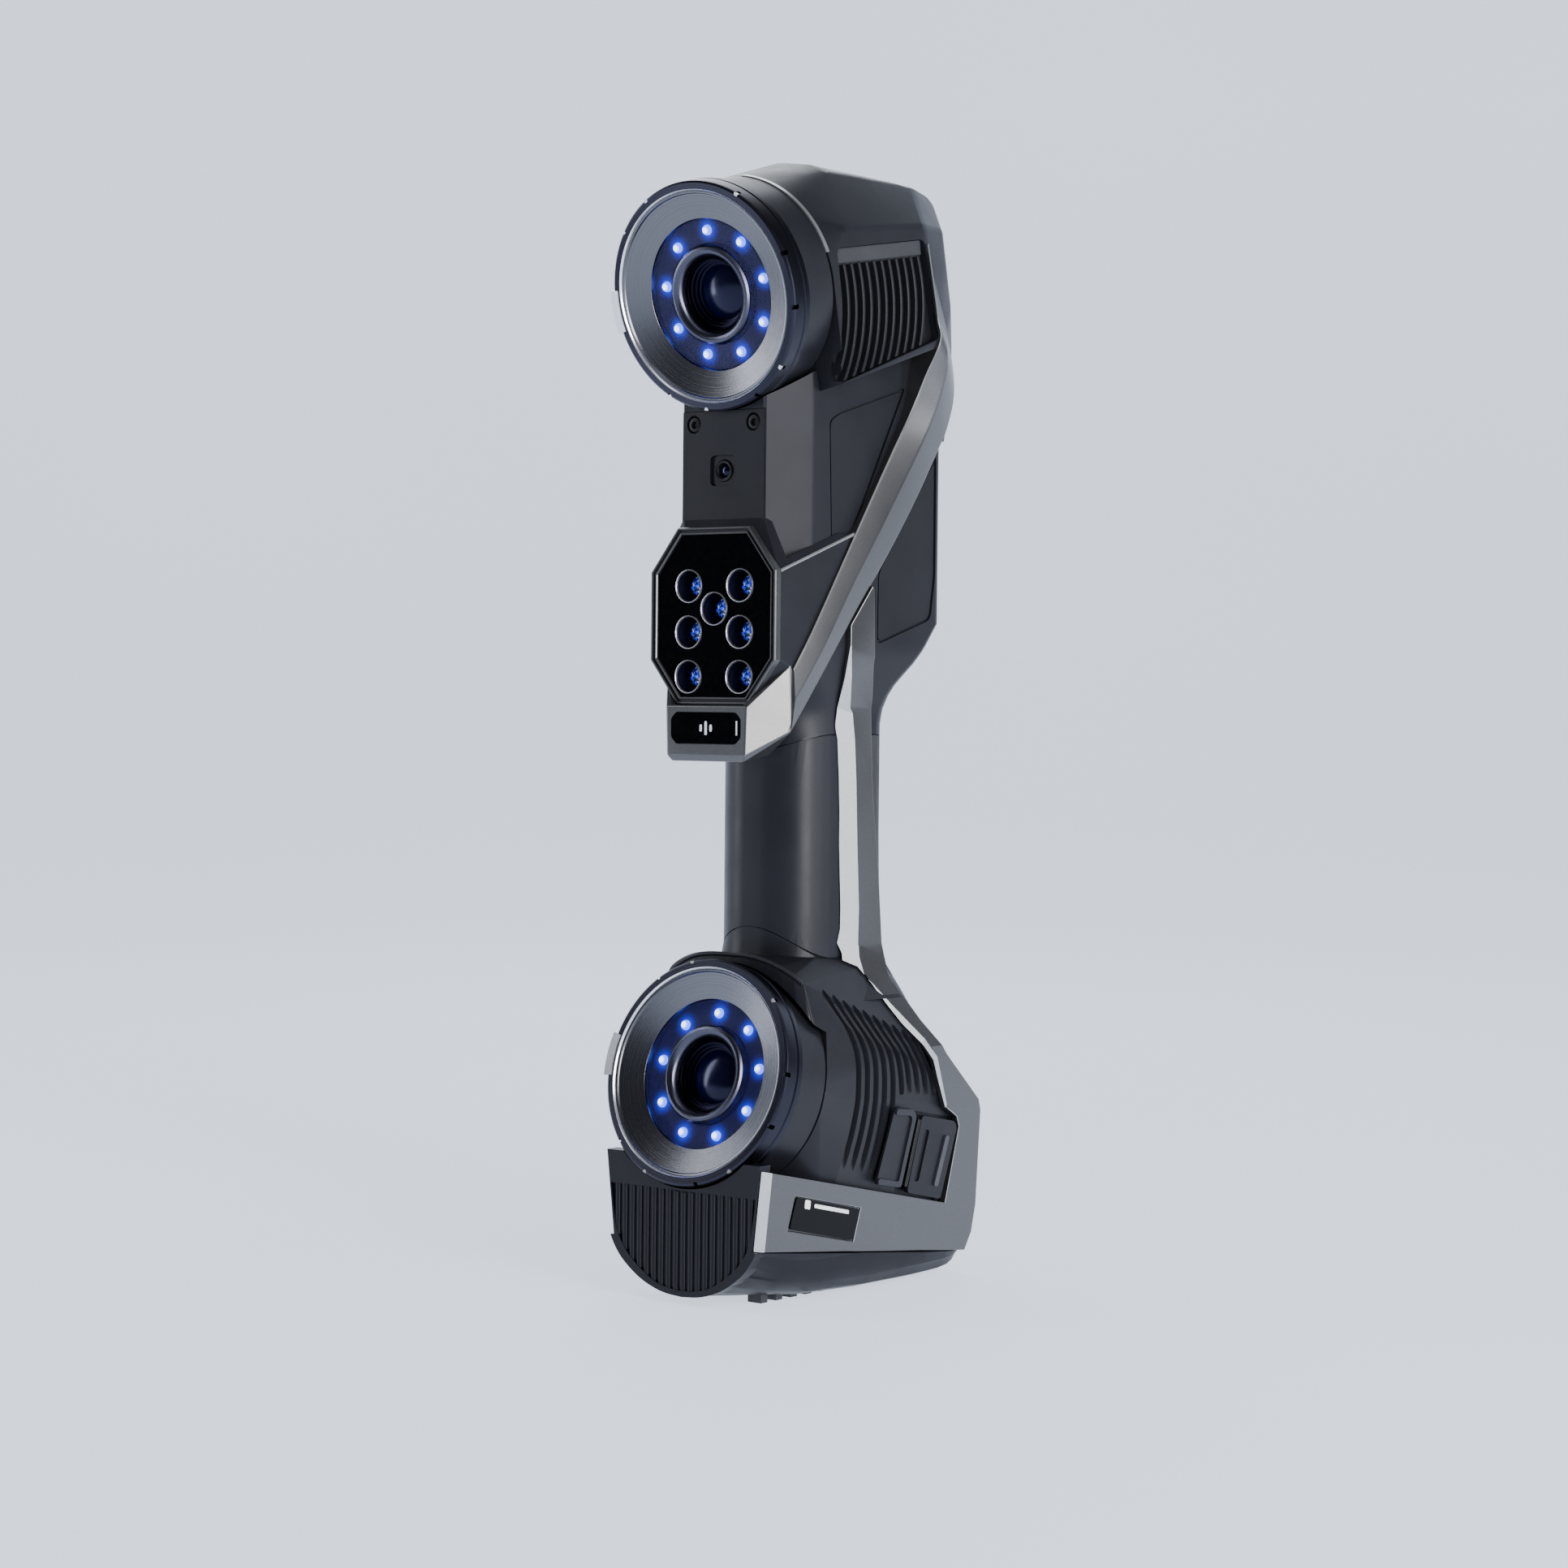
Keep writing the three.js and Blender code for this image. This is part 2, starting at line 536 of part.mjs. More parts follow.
function chinCover() {
  const badge = badgeOutline(17, -9.9, -22.1);
  return cut(
    chinForm(),
    fromFront(octagon(FRAME_X + 0.4, 13.1, 60, -7.5), -50, -38.3),
    fromFront(badge, -50, -43.4),
    block(-15, 15, -41, -20, -24, -9),
    block(-22, 22, -38, -20, -12, 10),
    ...LASER_SITES.slice(-2).map(([x, z]) => rodY(x, z, LASER_R + 0.4, -41.6, -28)),
  );
}

const badgeOutline = (halfWidth, top, bottom) => {
  const corner = 2.6;
  return mirrored([[halfWidth - corner, top], [halfWidth, top - corner],
    [halfWidth, bottom + corner], [halfWidth - corner, bottom]]);
};
const chinBadge = () => fromFront(badgeOutline(16.6, -10.3, -21.7), -44.5, -43.7);

// ---------------------------------------------------------------- diagonal side bands
// Left edge, crease and right edge of the band: x, y, z of each, from the chin up to the pod.
const bandStations = [
  [[30.4, -31, 5], [31.2, -31, -6], [29.6, -31, -17.6]],
  [[30.6, -20.3, 24.4], [31.6, -14, 17.5], [29.6, -4.6, 14.4]],
  [[30.4, 9.7, 64], [31.4, 17, 58], [29.6, 26.6, 49.4]],
  [[30.6, 37, 105], [32, 45, 98], [29.8, 58.5, 91.5]],
  [[36, 43.5, 122], [36, 51, 115], [31, 65, 100]],
  [[41, 45.4, 135.2], [40, 53, 130], [32.5, 65.5, 118]],
  [[41, 41.4, 150], [40.2, 47, 148], [37.6, 54.5, 146]],
  [[40.9, 35.6, 172], [40.7, 37.6, 172], [39.6, 40.4, 172]],
];

function band(side) {
  const root = SIDE_X - 4;
  const ring = ([left, crease, right]) => [[root, left[1], left[2]], left, crease, right,
    [root, right[1], right[2]]].map(([x, y, z]) => [side * x, y, z]);
  return cut(
    loft(bandStations.map(ring)),
    pod(0.4),
    block(-SIDE_X - GAP, SIDE_X + GAP, -60, 90, -60, 140),
    projectorForm(0.5),
    chinForm(0.5),
  );
}

// ---------------------------------------------------------------- grip
function gripShell(front) {
  const shell = cut(gripForm(), gripForm(WALL));
  const half = front ? block(-40, 40, -60, GRIP_SPLIT - GAP / 2, -130, 20)
    : block(-40, 40, GRIP_SPLIT + GAP / 2, 90, -130, 20);
  return shell.intersect(half)
    .intersect(besideSeam(upperSeam, -GAP - 0.1, -130))
    .intersect(besideSeam(lowerSeam, GAP + 0.1, 20));
}

// The strip beside the grip, the flare below it, and the arm along the foot, seen from the side.
const frameOutline = [
  [18, 39], [4.5, 24], [4.2, 2], [2.6, -18], [0.8, -35], [1, -60], [3.2, -103.5], [9.5, -109.5],
  [27.5, -126], [40.4, -138], [47.2, -145], [50, -152], [54.6, -164], [62.4, -168.4],
  [64.6, -172.4], [60.4, -202.6], [-55.8, -178.5], [-55.8, -208.4], [75, -223.3], [77.6, -223.6],
  [81, -216.5], [82, -205.4], [78.6, -167.5], [77, -162.6], [55, -143], [43.6, -129.5],
  [32.8, -112.5], [31.6, -104], [28.8, -73], [25, -45], [24, -35], [22.6, -4], [20, 8.5],
  [19.2, 38],
];
// The same piece seen from the front: the layer it fills outside the shells.
const FOOT_Z = -240;
const leanAt = (z) => (LEAN_Z - z) * Math.tan(LEAN);
const frameLayer = [
  [28.3, 60], [28.3, 14], [24.3, -9], [24.3, -98], [26.6, -110], [33.4, -126],
  [FLANK_INNER_X, -138.5], [FLANK_INNER_X, LEAN_Z], [FLANK_INNER_X - leanAt(FOOT_Z), FOOT_Z],
  [FLANK_X - leanAt(FOOT_Z), FOOT_Z], [FLANK_X, LEAN_Z], [FLANK_X, -139.5], [35.4, -126],
  [28.9, -111], [26.6, -99], [26.6, -8], [30.4, 12], [30.2, 60],
];

function sideFrame(side) {
  const layer = frameLayer.map(([x, z]) => [side * x, z]);
  const plate = fromSide(frameOutline, side > 0 ? 20 : -45, side > 0 ? 45 : -20);
  return cut(
    plate.intersect(fromFront(layer, -80, 100)),
    leaned(sideLayer(grownBadge(sideBadgeOutline), 40.3, 50, side), side),
    band(side),
    loft(bandStations.slice(0, 4).map((s) => bandShadow(s, side))),
    baseForm(0.5),
  );
}

// The space of the band and a clearance beside it, so that the strip stops short of it.
function bandShadow([left, , right], side) {
  const margin = 0.5;
  return [[20, left[1], left[2]], [40, left[1], left[2]], [40, right[1] + margin, right[2] - margin],
    [20, right[1] + margin, right[2] - margin]].map(([x, y, z]) => [side * x, y, z]);
}

const sideBadgeOutline = [[-36.4, -190], [4.2, -199], [1.7, -211], [-38.9, -202]];
const grownBadge = (outline) => outline.map(([y, z], i) =>
  [y + (i === 0 || i === 3 ? -0.5 : 0.5), z + (i < 2 ? 0.5 : -0.5)]);

const sideBadge = (side) => leaned(sideLayer(sideBadgeOutline, 40.6, 41.4, side), side);

// ---------------------------------------------------------------- lower pod
const flankOutline = [[-9, -124], [8, -128.5], [30, -137], [46, -146], [49.5, -153], [51.5, -162],
  [36, -163], [18, -159.5], [12, -190], [-14, -184], [-8, -151], [-9, -139]];
const flankLeft = [[-9, -124], [8, -128.5], [30, -137], [46, -146], [49.5, -153], [55, -170],
  [50, -199], [-14, -184], [-8, -151], [-9, -139]];
const visorOutline = mirrored([[16, 46.4], [30.5, 35], [31.5, 20]]);
const doorOutline = [[39.3, -166], [61.6, -170.2], [63.6, -173], [57.3, -201], [34.4, -196]];
const doorWell = [[35.2, -164], [62.2, -169.2], [64.5, -172.6], [58, -202.2], [29.6, -196]];

function lowerBody() {
  const visor = solid(frontGeometry(visorOutline, 2, 26), LOWER);
  const neck = loft([gripRing(-125, GRIP_X, GRIP_FRONT, 43), gripRing(-100, GRIP_X, GRIP_FRONT, 40),
    gripRing(-86, GRIP_X, GRIP_FRONT, 39.5)]);
  const seam = besideSeam(lowerSeam, 0, -230);
  return cut(
    join(baseForm(), cut(visor, cameraCylinder(LOWER, 30, -20, 40)), neck.intersect(seam)),
    baseForm(-WALL - 0.5),
    fromTop(rounded(mirrored([[20, -12.5], [20, 35]]), 8, 3), -130, -80),
    cameraCylinder(LOWER, 37.4, -10, 25.6),
    cameraCylinder(LOWER, 32, 20, 60),
    cameraCylinder(LOWER, BEZEL_R + 0.6, -20, BARREL_END + 0.2),
    fromSide(flankOutline, 33, 50),
    fromSide(flankLeft, -50, -33),
    leaned(sideLayer(doorWell, 36.4, 50, 1), 1),
    block(22, 50, 39, 55, -191, -174),
    block(-30, 30, -12, 66, -212, -190),
  );
}

function lowerFins(side) {
  const inset = side > 0 ? flankOutline : flankLeft;
  const [middleY, middleZ] = [10, -158];
  const pull = (value, middle) => value + (value < middle ? 0.5 : -0.5);
  const outline = inset.map(([y, z]) => [pull(y, middleY), pull(z, middleZ)]);
  const slab = (x0, x1) => (side > 0 ? fromSide(outline, x0, x1) : fromSide(outline, -x1, -x0));
  const blades = [];
  for (let i = 0; i < 12; i++) {
    const y = -9.5 + i * 5;
    const blade = [[y, -118], [y + 2.4, -118], [y + 6.4, -160], [y - 0.6, -200], [y - 3, -200],
      [y + 4, -160]];
    blades.push(side > 0 ? fromSide(blade, 34.4, 45) : fromSide(blade, -45, -34.4));
  }
  const comb = join(...blades).intersect(slab(34.4, 45)).intersect(baseForm(-0.3));
  return join(slab(33.3, 34.8).intersect(baseForm(-0.3)), comb);
}

// The bottom cover: a U-shaped tray whose front rises around the camera as a ribbed bib.
function trayRing(y, halfWidth, top, bottom, fullness) {
  const bow = [[1, 0], [0.94, 0.2], [0.83, 0.42], [0.58, 0.76], [0.22, 0.955]];
  const box = [[1, 0], [1, 0.35], [0.95, 0.62], [0.78, 0.86], [0.3, 1]];
  const right = bow.map(([across, down], i) => [
    halfWidth * THREE.MathUtils.lerp(across, box[i][0], fullness),
    top + (bottom - top) * THREE.MathUtils.lerp(down, box[i][1], fullness),
  ]);
  return mirrored(right).map(([x, z]) => [x, y, z]);
}

const trayForm = (inset = 0) => loft([
  trayRing(-56.6 + inset, BASE_X - inset, -206.5, -229 + inset, 0),
  trayRing(-20, BASE_X - inset, -206.5, -230 + inset, 0.6),
  trayRing(48, BASE_X - 0.4 - inset, -206.5, -232 + inset, 1),
  trayRing(71, 34.4 - inset, -206.5, -231.5 + inset, 1),
  trayRing(80 - inset, 31.5 - inset, -206.5, -228 + inset, 1),
]);

// The room that the side frame's arm takes beside the cover.
const armSpace = (side) => leaned(sideLayer([[-70, -150], [-70, -208], [-55.8, -209.5],
  [75, -224.4], [86, -225.5], [86, -150]], FLANK_INNER_X - GAP, 50, side), side);

const bibOutline = mirrored([[39.4, -178.6], [36.6, -206], [31, -215.4], [21.4, -223.4],
  [8.3, -228.2]]);

function bottomCover() {
  const bib = fromFront(bibOutline, -56.6, -50.5);
  const ribWindow = fromFront(mirrored([[33, -191], [31.5, -206], [27, -213], [19, -220.5], [7, -225]]),
    -60, -55.6);
  const grooves = [];
  const [pitch, half] = [3.8, 0.9];
  for (let i = -8; i <= 8; i++) {
    grooves.push(block(i * pitch - half, i * pitch + half, -60, -55.6, -230, -180));
  }
  return cut(
    join(trayForm(), bib),
    trayForm(WALL).intersect(block(-60, 60, -50, 90, -240, -205)),
    block(-34, 34, -30, 62, -210, -200),
    cameraCylinder(LOWER, BEZEL_R + 0.6, -20, BARREL_END + 8),
    baseForm(0.5),
    armSpace(1),
    armSpace(-1),
    join(...grooves).intersect(ribWindow),
  );
}

// ---------------------------------------------------------------- side door and its latch
const hingeAxis = new THREE.Vector3(0, HINGE_FOOT[0] - HINGE_TOP[0], HINGE_FOOT[1] - HINGE_TOP[1]);
const hingeLength = hingeAxis.length();
hingeAxis.normalize();

function hingeRod(r, from, to, sides = 12) {
  const rod = new THREE.CylinderGeometry(r, r, to - from, sides).translate(0, (from + to) / 2, 0);
  return leaned(rod.applyMatrix4(along(hingeAxis, HINGE_X, ...HINGE_TOP)), 1);
}

const hingePin = () => hingeRod(PIN_R, 0.5, hingeLength - 0.5);

function portDoor() {
  const leaf = leaned(sideGeometry(rounded(doorOutline, 1.6, 2), 38.9, 41), 1);
  const bar = [[55.8, -175], [58, -175.4], [53.4, -195.2], [51.2, -194.8]];
  const fingerBar = leaned(sideGeometry(bar, 40.5, 41.8), 1);
  const slotOutline = [[42.6, -171], [44.2, -171.3], [40.2, -191], [38.6, -190.7]];
  const slot = leaned(sideGeometry(slotOutline, 40.3, 45), 1);
  const knuckle = hingeRod(2, 3, hingeLength - 3);
  const bore = hingeRod(PIN_R + 0.25, -5, hingeLength + 5);
  return cut(join(leaf, fingerBar, knuckle), bore, slot);
}

function portLatch() {
  const outline = [[20.2, -161.1], [31.6, -162.6], [34.2, -165.5], [28.4, -193.4], [12.6, -190.4]];
  const body = leaned(sideGeometry(rounded(outline, 1.6, 2), 40.5, 41.7), 1);
  const rimOutline = [[21, -161.4], [31.5, -162.8], [34, -165.5], [28.4, -193], [12.8, -190.2],
    [13.2, -188], [26.6, -190.6], [31.4, -166.2], [30.4, -165], [20.4, -163.6]];
  return join(body, leaned(sideGeometry(rimOutline, 41.5, 42.3), 1));
}

const portSocket = () => cut(
  block(23, 33.5, 40, 54, -190, -175),
  block(27, 40, 42.5, 51.5, -187.5, -177.5),
);

// ---------------------------------------------------------------- controls and inner parts
function controlPanel() {
  const outline = rounded([[-18.8, 37.2], [18.8, 37.2], [18.8, 89.8], [-18.8, 89.8]], 4, 2);
  return cut(fromFront(outline, 64.2, 68),
    ...KEYS.map(([, x, z, r]) => rodY(x, z, r + GAP, 60, 75)));
}

function controlKey([, x, z, r]) {
  const [flangeBack, flangeFront] = [63.7, 62.6]; // the flange behind the panel that keeps the key in
  const profile = [[0, KEY_FACE], [r * 0.7, KEY_FACE - 0.1], [r, KEY_FACE - 0.8], [r, flangeBack],
    [r + 1, flangeBack], [r + 1, flangeFront], [0, flangeFront]];
  return solid(turnedSolidGeometry(profile, 14).translate(x, 0, z));
}

const keypadBoard = () => join(
  block(-17.5, 17.5, 57.6, 59.2, 38, 88),
  ...KEYS.map(([, x, z]) => rodY(x, z, 2, 59, 61.2, 8)),
);

const mainBoard = () => join(
  block(-22, 22, 32, 33.6, 10, 94),
  block(-12, 12, 33.4, 37, 50, 74),
  block(-18, -4, 33.4, 36, 18, 40),
  block(4, 18, 33.4, 39, 16, 30),
);

const chassisSpine = () => cut(
  block(-10, 10, 8, 24, -132, 112),
  block(-7, 7, 11, 30, -140, 120),
);

// ---------------------------------------------------------------- assembly
const scanner = new THREE.Group();

function addTo(parent, name, shape, finish) {
  const [color, roughness, metalness] = COLORS[finish];
  const material = new THREE.MeshStandardMaterial({ color, roughness, metalness });
  const mesh = new THREE.Mesh(geometryOf(shape), material);
  mesh.name = name;
  parent.add(mesh);
}
const add = (name, shape, finish) => addTo(scanner, name, shape, finish);

for (const [label, frame] of [['upper', UPPER], ['lower', LOWER]]) {
  const camera = new THREE.Group();
  frame.decompose(camera.position, camera.quaternion, camera.scale);
  addTo(camera, `${label}_bezel_ring`, bezelRing(), 'machined');
  addTo(camera, `${label}_camera_barrel`, cameraBarrel(), 'dark');
  addTo(camera, `${label}_led_window`, ledWindow(), 'indigo');
  addTo(camera, `${label}_led_board`, ledBoard(), 'lamp');
  addTo(camera, `${label}_lens_trim_ring`, lensTrimRing(), 'machined');
  addTo(camera, `${label}_lens_glass`, lensGlass(), 'glass');
  addTo(camera, `${label}_camera_module`, cameraModule(), 'black');
  scanner.add(camera);
}

add('upper_shell', upperShell(), 'charcoal');
add('middle_housing', middleHousing(), 'charcoal');
add('front_plate', frontPlate(), 'dark');
add('alignment_camera', alignmentCamera(), 'black');
add('projector_housing', projectorHousing(), 'charcoal');
add('projector_frame', projectorFrame(), 'silver');
add('projector_window', projectorWindow(), 'black');
add('laser_block', laserBlock(), 'steel');
LASER_SITES.forEach((site, i) => add(`laser_module_${i + 1}`, laserModule(site), 'steel'));
add('chin_cover', chinCover(), 'silver');
add('chin_badge', chinBadge(), 'black');
add('grip_front', gripShell(true), 'charcoal');
add('grip_rear', gripShell(false), 'rubber');
add('lower_body', lowerBody(), 'charcoal');
add('bottom_cover', bottomCover(), 'dark');
for (const [label, side] of [['right', 1], ['left', -1]]) {
  add(`plate_screw_${label}`, plateScrew(side * SCREW_X), 'steel');
  add(`upper_fins_${label}`, upperFins(side), 'dark');
  add(`band_${label}`, band(side), 'silver');
  add(`side_frame_${label}`, sideFrame(side), 'silver');
  add(`side_badge_${label}`, sideBadge(side), 'black');
  add(`lower_fins_${label}`, lowerFins(side), 'dark');
}
add('port_door', portDoor(), 'charcoal');
add('hinge_pin', hingePin(), 'steel');
add('port_latch', portLatch(), 'charcoal');
add('port_socket', portSocket(), 'black');
add('control_panel', controlPanel(), 'dark');
KEYS.forEach((key) => add(key[0], controlKey(key), 'rubber'));
add('keypad_board', keypadBoard(), 'board');
add('main_board', mainBoard(), 'board');
add('chassis_spine', chassisSpine(), 'steel');

// The part's origin is the middle of its bounding box.
scanner.updateMatrixWorld(true);
const middle = new THREE.Box3().setFromObject(scanner, true).getCenter(new THREE.Vector3());
scanner.position.sub(middle);

export default scanner;
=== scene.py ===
import math

import bmesh
import bpy
from mathutils import Matrix, Vector
from mathutils.bvhtree import BVHTree


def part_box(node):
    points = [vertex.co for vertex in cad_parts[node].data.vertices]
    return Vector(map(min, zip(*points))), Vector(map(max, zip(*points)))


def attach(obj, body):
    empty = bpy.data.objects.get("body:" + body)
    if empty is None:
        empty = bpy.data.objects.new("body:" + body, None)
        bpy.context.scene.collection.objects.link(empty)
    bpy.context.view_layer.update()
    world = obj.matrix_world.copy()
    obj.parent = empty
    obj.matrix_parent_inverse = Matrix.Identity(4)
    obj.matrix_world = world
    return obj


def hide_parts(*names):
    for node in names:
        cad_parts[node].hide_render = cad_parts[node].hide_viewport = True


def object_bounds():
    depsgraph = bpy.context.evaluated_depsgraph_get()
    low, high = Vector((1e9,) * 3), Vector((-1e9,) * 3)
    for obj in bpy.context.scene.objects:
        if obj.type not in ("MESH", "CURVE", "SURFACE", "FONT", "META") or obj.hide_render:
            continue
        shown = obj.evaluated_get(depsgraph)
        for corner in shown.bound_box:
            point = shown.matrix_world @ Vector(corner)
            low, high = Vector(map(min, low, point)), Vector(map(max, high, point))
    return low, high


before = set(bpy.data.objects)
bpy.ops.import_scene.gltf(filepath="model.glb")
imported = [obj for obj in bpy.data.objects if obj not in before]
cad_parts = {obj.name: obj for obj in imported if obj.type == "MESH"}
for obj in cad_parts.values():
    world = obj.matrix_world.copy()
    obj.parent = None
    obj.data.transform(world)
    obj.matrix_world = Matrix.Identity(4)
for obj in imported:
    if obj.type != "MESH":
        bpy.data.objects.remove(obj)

CAD_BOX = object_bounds()
MM = 0.001
ROOT = "scanner"
SIDES = ((1, "right"), (-1, "left"))

# ---------- where things are
# Sizes below are millimetres in the design's own axes: x towards the port door's side, y back, z up.
# The front plate's lowest corner is known there and in the frame, so it ties the two together.
PLATE_FRONT = -36.4
PLATE_CORNER = Vector((-19.7, PLATE_FRONT, 64.3))
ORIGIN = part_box("front_plate")[0] - PLATE_CORNER * MM

TILT = math.radians(13.84)  # how far each camera leans towards the other
CAMERA_Y, CAMERA_Z = -43.9, 146.3
LAMPS = 9
LAMP_CIRCLE = 23.8
BEZEL_R = 43.2
BARREL_R = 41.6
BARREL_END = 21.0

FLANK_X, LEAN_Z = 41.2, -166.0
LEAN = math.radians(6.5)  # the flanks of the foot lean inwards below LEAN_Z


def at(x, y, z):
    return ORIGIN + Vector((x, y, z)) * MM


def camera_design(side):
    """x across, y back along the optical axis, z up, from the middle of the lamp plane."""
    back = Vector((0, math.cos(TILT), side * math.sin(TILT)))
    up = Vector((0, -side * math.sin(TILT), math.cos(TILT)))
    m = Matrix((Vector((1, 0, 0)), back, up)).transposed().to_4x4()
    m.translation = Vector((0, CAMERA_Y, side * CAMERA_Z))
    return m


def camera_matrix(side):
    """Takes metres in a camera's own axes to the frame."""
    m = camera_design(side)
    m.translation = ORIGIN + m.translation * MM
    return m


# ---------- materials
class Surface:
    """A node material. Each method adds a node and returns the output that the next one reads."""

    def __init__(self, name, **constants):
        self.data = bpy.data.materials.new(name)
        self.data.use_nodes = True
        self.tree = self.data.node_tree
        self.shader = self.tree.nodes["Principled BSDF"]
        for socket, value in constants.items():
            self.shader.inputs[socket.replace("_", " ")].default_value = value

    def feed(self, socket, source):
        self.tree.links.new(source, self.shader.inputs[socket])

    def node(self, kind, inputs=()):
        """inputs: pairs of a socket and either a plain value or another node's output."""
        node = self.tree.nodes.new("ShaderNode" + kind)
        for socket, value in inputs:
            if isinstance(value, bpy.types.NodeSocket):
                self.tree.links.new(value, node.inputs[socket])
            else:
                node.inputs[socket].default_value = value
        return node

    def place(self):
        return self.node("TexCoord").outputs["Object"]

    def noise(self, scale, detail=3, roughness=0.5):
        return self.node("TexNoise", [("Vector", self.place()), ("Scale", scale), ("Detail", detail),
                                      ("Roughness", roughness)]).outputs["Fac"]

    def cells(self, scale):
        return self.node("TexVoronoi", [("Vector", self.place()), ("Scale", scale)])

    def split(self, color):
        return self.node("SeparateColor", [(0, color)]).outputs

    def math(self, operation, a, b=0.0, clamp=False):
        node = self.node("Math", [(0, a), (1, b)])
        node.operation = operation
        node.use_clamp = clamp
        return node.outputs[0]

    def ramp(self, fac, *stops):
        """stops: (position, (r, g, b))."""
        node = self.node("ValToRGB", [("Fac", fac)])
        elements = node.color_ramp.elements
        while len(elements) < len(stops):
            elements.new(0.5)
        for element, (position, color) in zip(elements, stops):
            element.position = position
            element.color = (*color, 1)
        return node.outputs["Color"]

    def spread(self, fac, low, high):
        return self.node("MapRange", [("Value", fac), ("From Min", 0.3), ("From Max", 0.7), ("To Min", low),
                                      ("To Max", high)]).outputs["Result"]

    def bump(self, *layers):
        """layers: (height, strength, distance in metres), stacked from the coarsest to the finest."""
        below = []
        for height, strength, distance in layers:
            node = self.node("Bump", [("Height", height), ("Strength", strength), ("Distance", distance),
                                      *below])
            below = [("Normal", node.outputs["Normal"])]
        self.feed("Normal", node.outputs["Normal"])

    def from_axis(self):
        """Distance from a camera piece's own optical axis, its local y, then x and z."""
        place = self.node("SeparateXYZ", [(0, self.place())]).outputs
        x, z = place["X"], place["Z"]
        return self.length(x, z), x, z

    def length(self, a, b):
        return self.math("SQRT", self.math("ADD", self.math("MULTIPLY", a, a), self.math("MULTIPLY", b, b)))


def scaled(color, k):
    return tuple(c * k for c in color)


def satin(name, color, rough, metallic=0.0, grain=1600):
    """Moulded or painted surface: faint cloudy colour, uneven gloss and a fine grain."""
    s = Surface(name, Metallic=metallic, Specular_IOR_Level=0.24)
    s.feed("Base Color", s.ramp(s.noise(28, 4), (0.3, scaled(color, 0.88)), (0.7, scaled(color, 1.12))))
    s.feed("Roughness", s.spread(s.noise(60, 5, 0.6), rough * 0.88, rough * 1.14))
    s.bump((s.noise(120, 2), 0.05, 0.0002), (s.noise(grain, 2, 0.7), 0.25, 0.00004))
    return s.data


def metal_paint(name, color, rough=0.3):
    """Silver paint: bright flakes under a satin lacquer."""
    s = Surface(name, Metallic=0.85, Coat_Weight=0.3, Coat_Roughness=0.18)
    flake = s.split(s.cells(5200).outputs["Color"])
    s.feed("Base Color", s.ramp(flake[0], (0.0, scaled(color, 0.86)), (1.0, scaled(color, 1.12))))
    s.feed("Roughness", s.spread(s.noise(45, 4), rough * 0.9, rough * 1.12))
    s.bump((s.noise(140, 2), 0.04, 0.0002), (flake[1], 0.05, 0.00002))
    return s.data


def turned_metal(name, color, rough, pitch=0.00032, depth=0.3):
    """Metal with the fine rings that a lathe tool leaves round the optical axis."""
    s = Surface(name, Metallic=1.0, Anisotropic=0.75)
    radius, _, _ = s.from_axis()
    bands = s.node("TexNoise", [("Scale", 2600), ("Detail", 3)])
    bands.noise_dimensions = "1D"
    s.tree.links.new(radius, bands.inputs["W"])
    fac = bands.outputs["Fac"]
    s.feed("Base Color", s.ramp(fac, (0.3, scaled(color, 0.8)), (0.7, scaled(color, 1.12))))
    s.feed("Roughness", s.spread(fac, rough * 0.8, rough * 1.25))
    tangent = s.node("Tangent")
    tangent.direction_type = "RADIAL"
    tangent.axis = "Y"
    s.feed("Tangent", tangent.outputs["Tangent"])
    s.bump((s.math("SINE", s.math("MULTIPLY", radius, 2 * math.pi / pitch)), depth, 0.00002))
    return s.data


def lamp_distance(s):
    """Distance from the middle of the nearest lamp of the ring."""
    radius, x, z = s.from_axis()
    step = 2 * math.pi / LAMPS
    angle = s.math("ARCTAN2", x, z)
    nearest = s.math("ROUND", s.math("DIVIDE", angle, step))
    off = s.math("SUBTRACT", angle, s.math("MULTIPLY", nearest, step))
    across = s.math("MULTIPLY", radius, s.math("SINE", off))
    outward = s.math("MULTIPLY", radius, s.math("COSINE", off))
    return s.length(across, s.math("SUBTRACT", outward, LAMP_CIRCLE * MM))


def lamp_board_material():
    """Dark board behind the filter, with a painted pool of blue light round each lamp and a faint painted
    emission all over.
    """
    s = Surface("lamp_board_painted_glow", Roughness=0.5)
    near = s.math("DIVIDE", lamp_distance(s), 0.0062)
    # Painted light: emission on the board stands in for the lamps' light falling on it.
    painted_glow = s.math("POWER", s.math("SUBTRACT", 1.0, near, clamp=True), 1.4)
    s.feed("Base Color", s.ramp(s.noise(900), (0.3, (0.008, 0.008, 0.03)), (0.7, (0.02, 0.02, 0.07))))
    s.feed("Emission Color", s.ramp(painted_glow, (0.0, (0.03, 0.03, 0.10)), (0.4, (0.015, 0.03, 0.8)),
                                    (1.0, (0.06, 0.16, 1.0))))
    s.feed("Emission Strength", s.math("ADD", s.math("MULTIPLY", painted_glow, 3.4), 0.2))
    return s.data


def lamp_core_material():
    s = Surface("lamp_core", Base_Color=(0.5, 0.6, 1.0, 1), Emission_Strength=9.0, Roughness=0.2)
    near = s.math("DIVIDE", lamp_distance(s), 0.0019)
    s.feed("Emission Color", s.ramp(near, (0.0, (1.0, 1.0, 1.0)), (0.45, (0.75, 0.86, 1.0)),
                                    (0.8, (0.06, 0.13, 1.0))))
    return s.data


def filter_material():
    """The thin blue filter over the lamps: clear enough to see through, glossy in front."""
    s = Surface("blue_filter", Roughness=0.12, Specular_IOR_Level=0.25, Alpha=0.38)
    s.feed("Base Color", s.ramp(s.noise(700, 2), (0.35, (0.01, 0.01, 0.045)), (0.65, (0.015, 0.016, 0.065))))
    return s.data


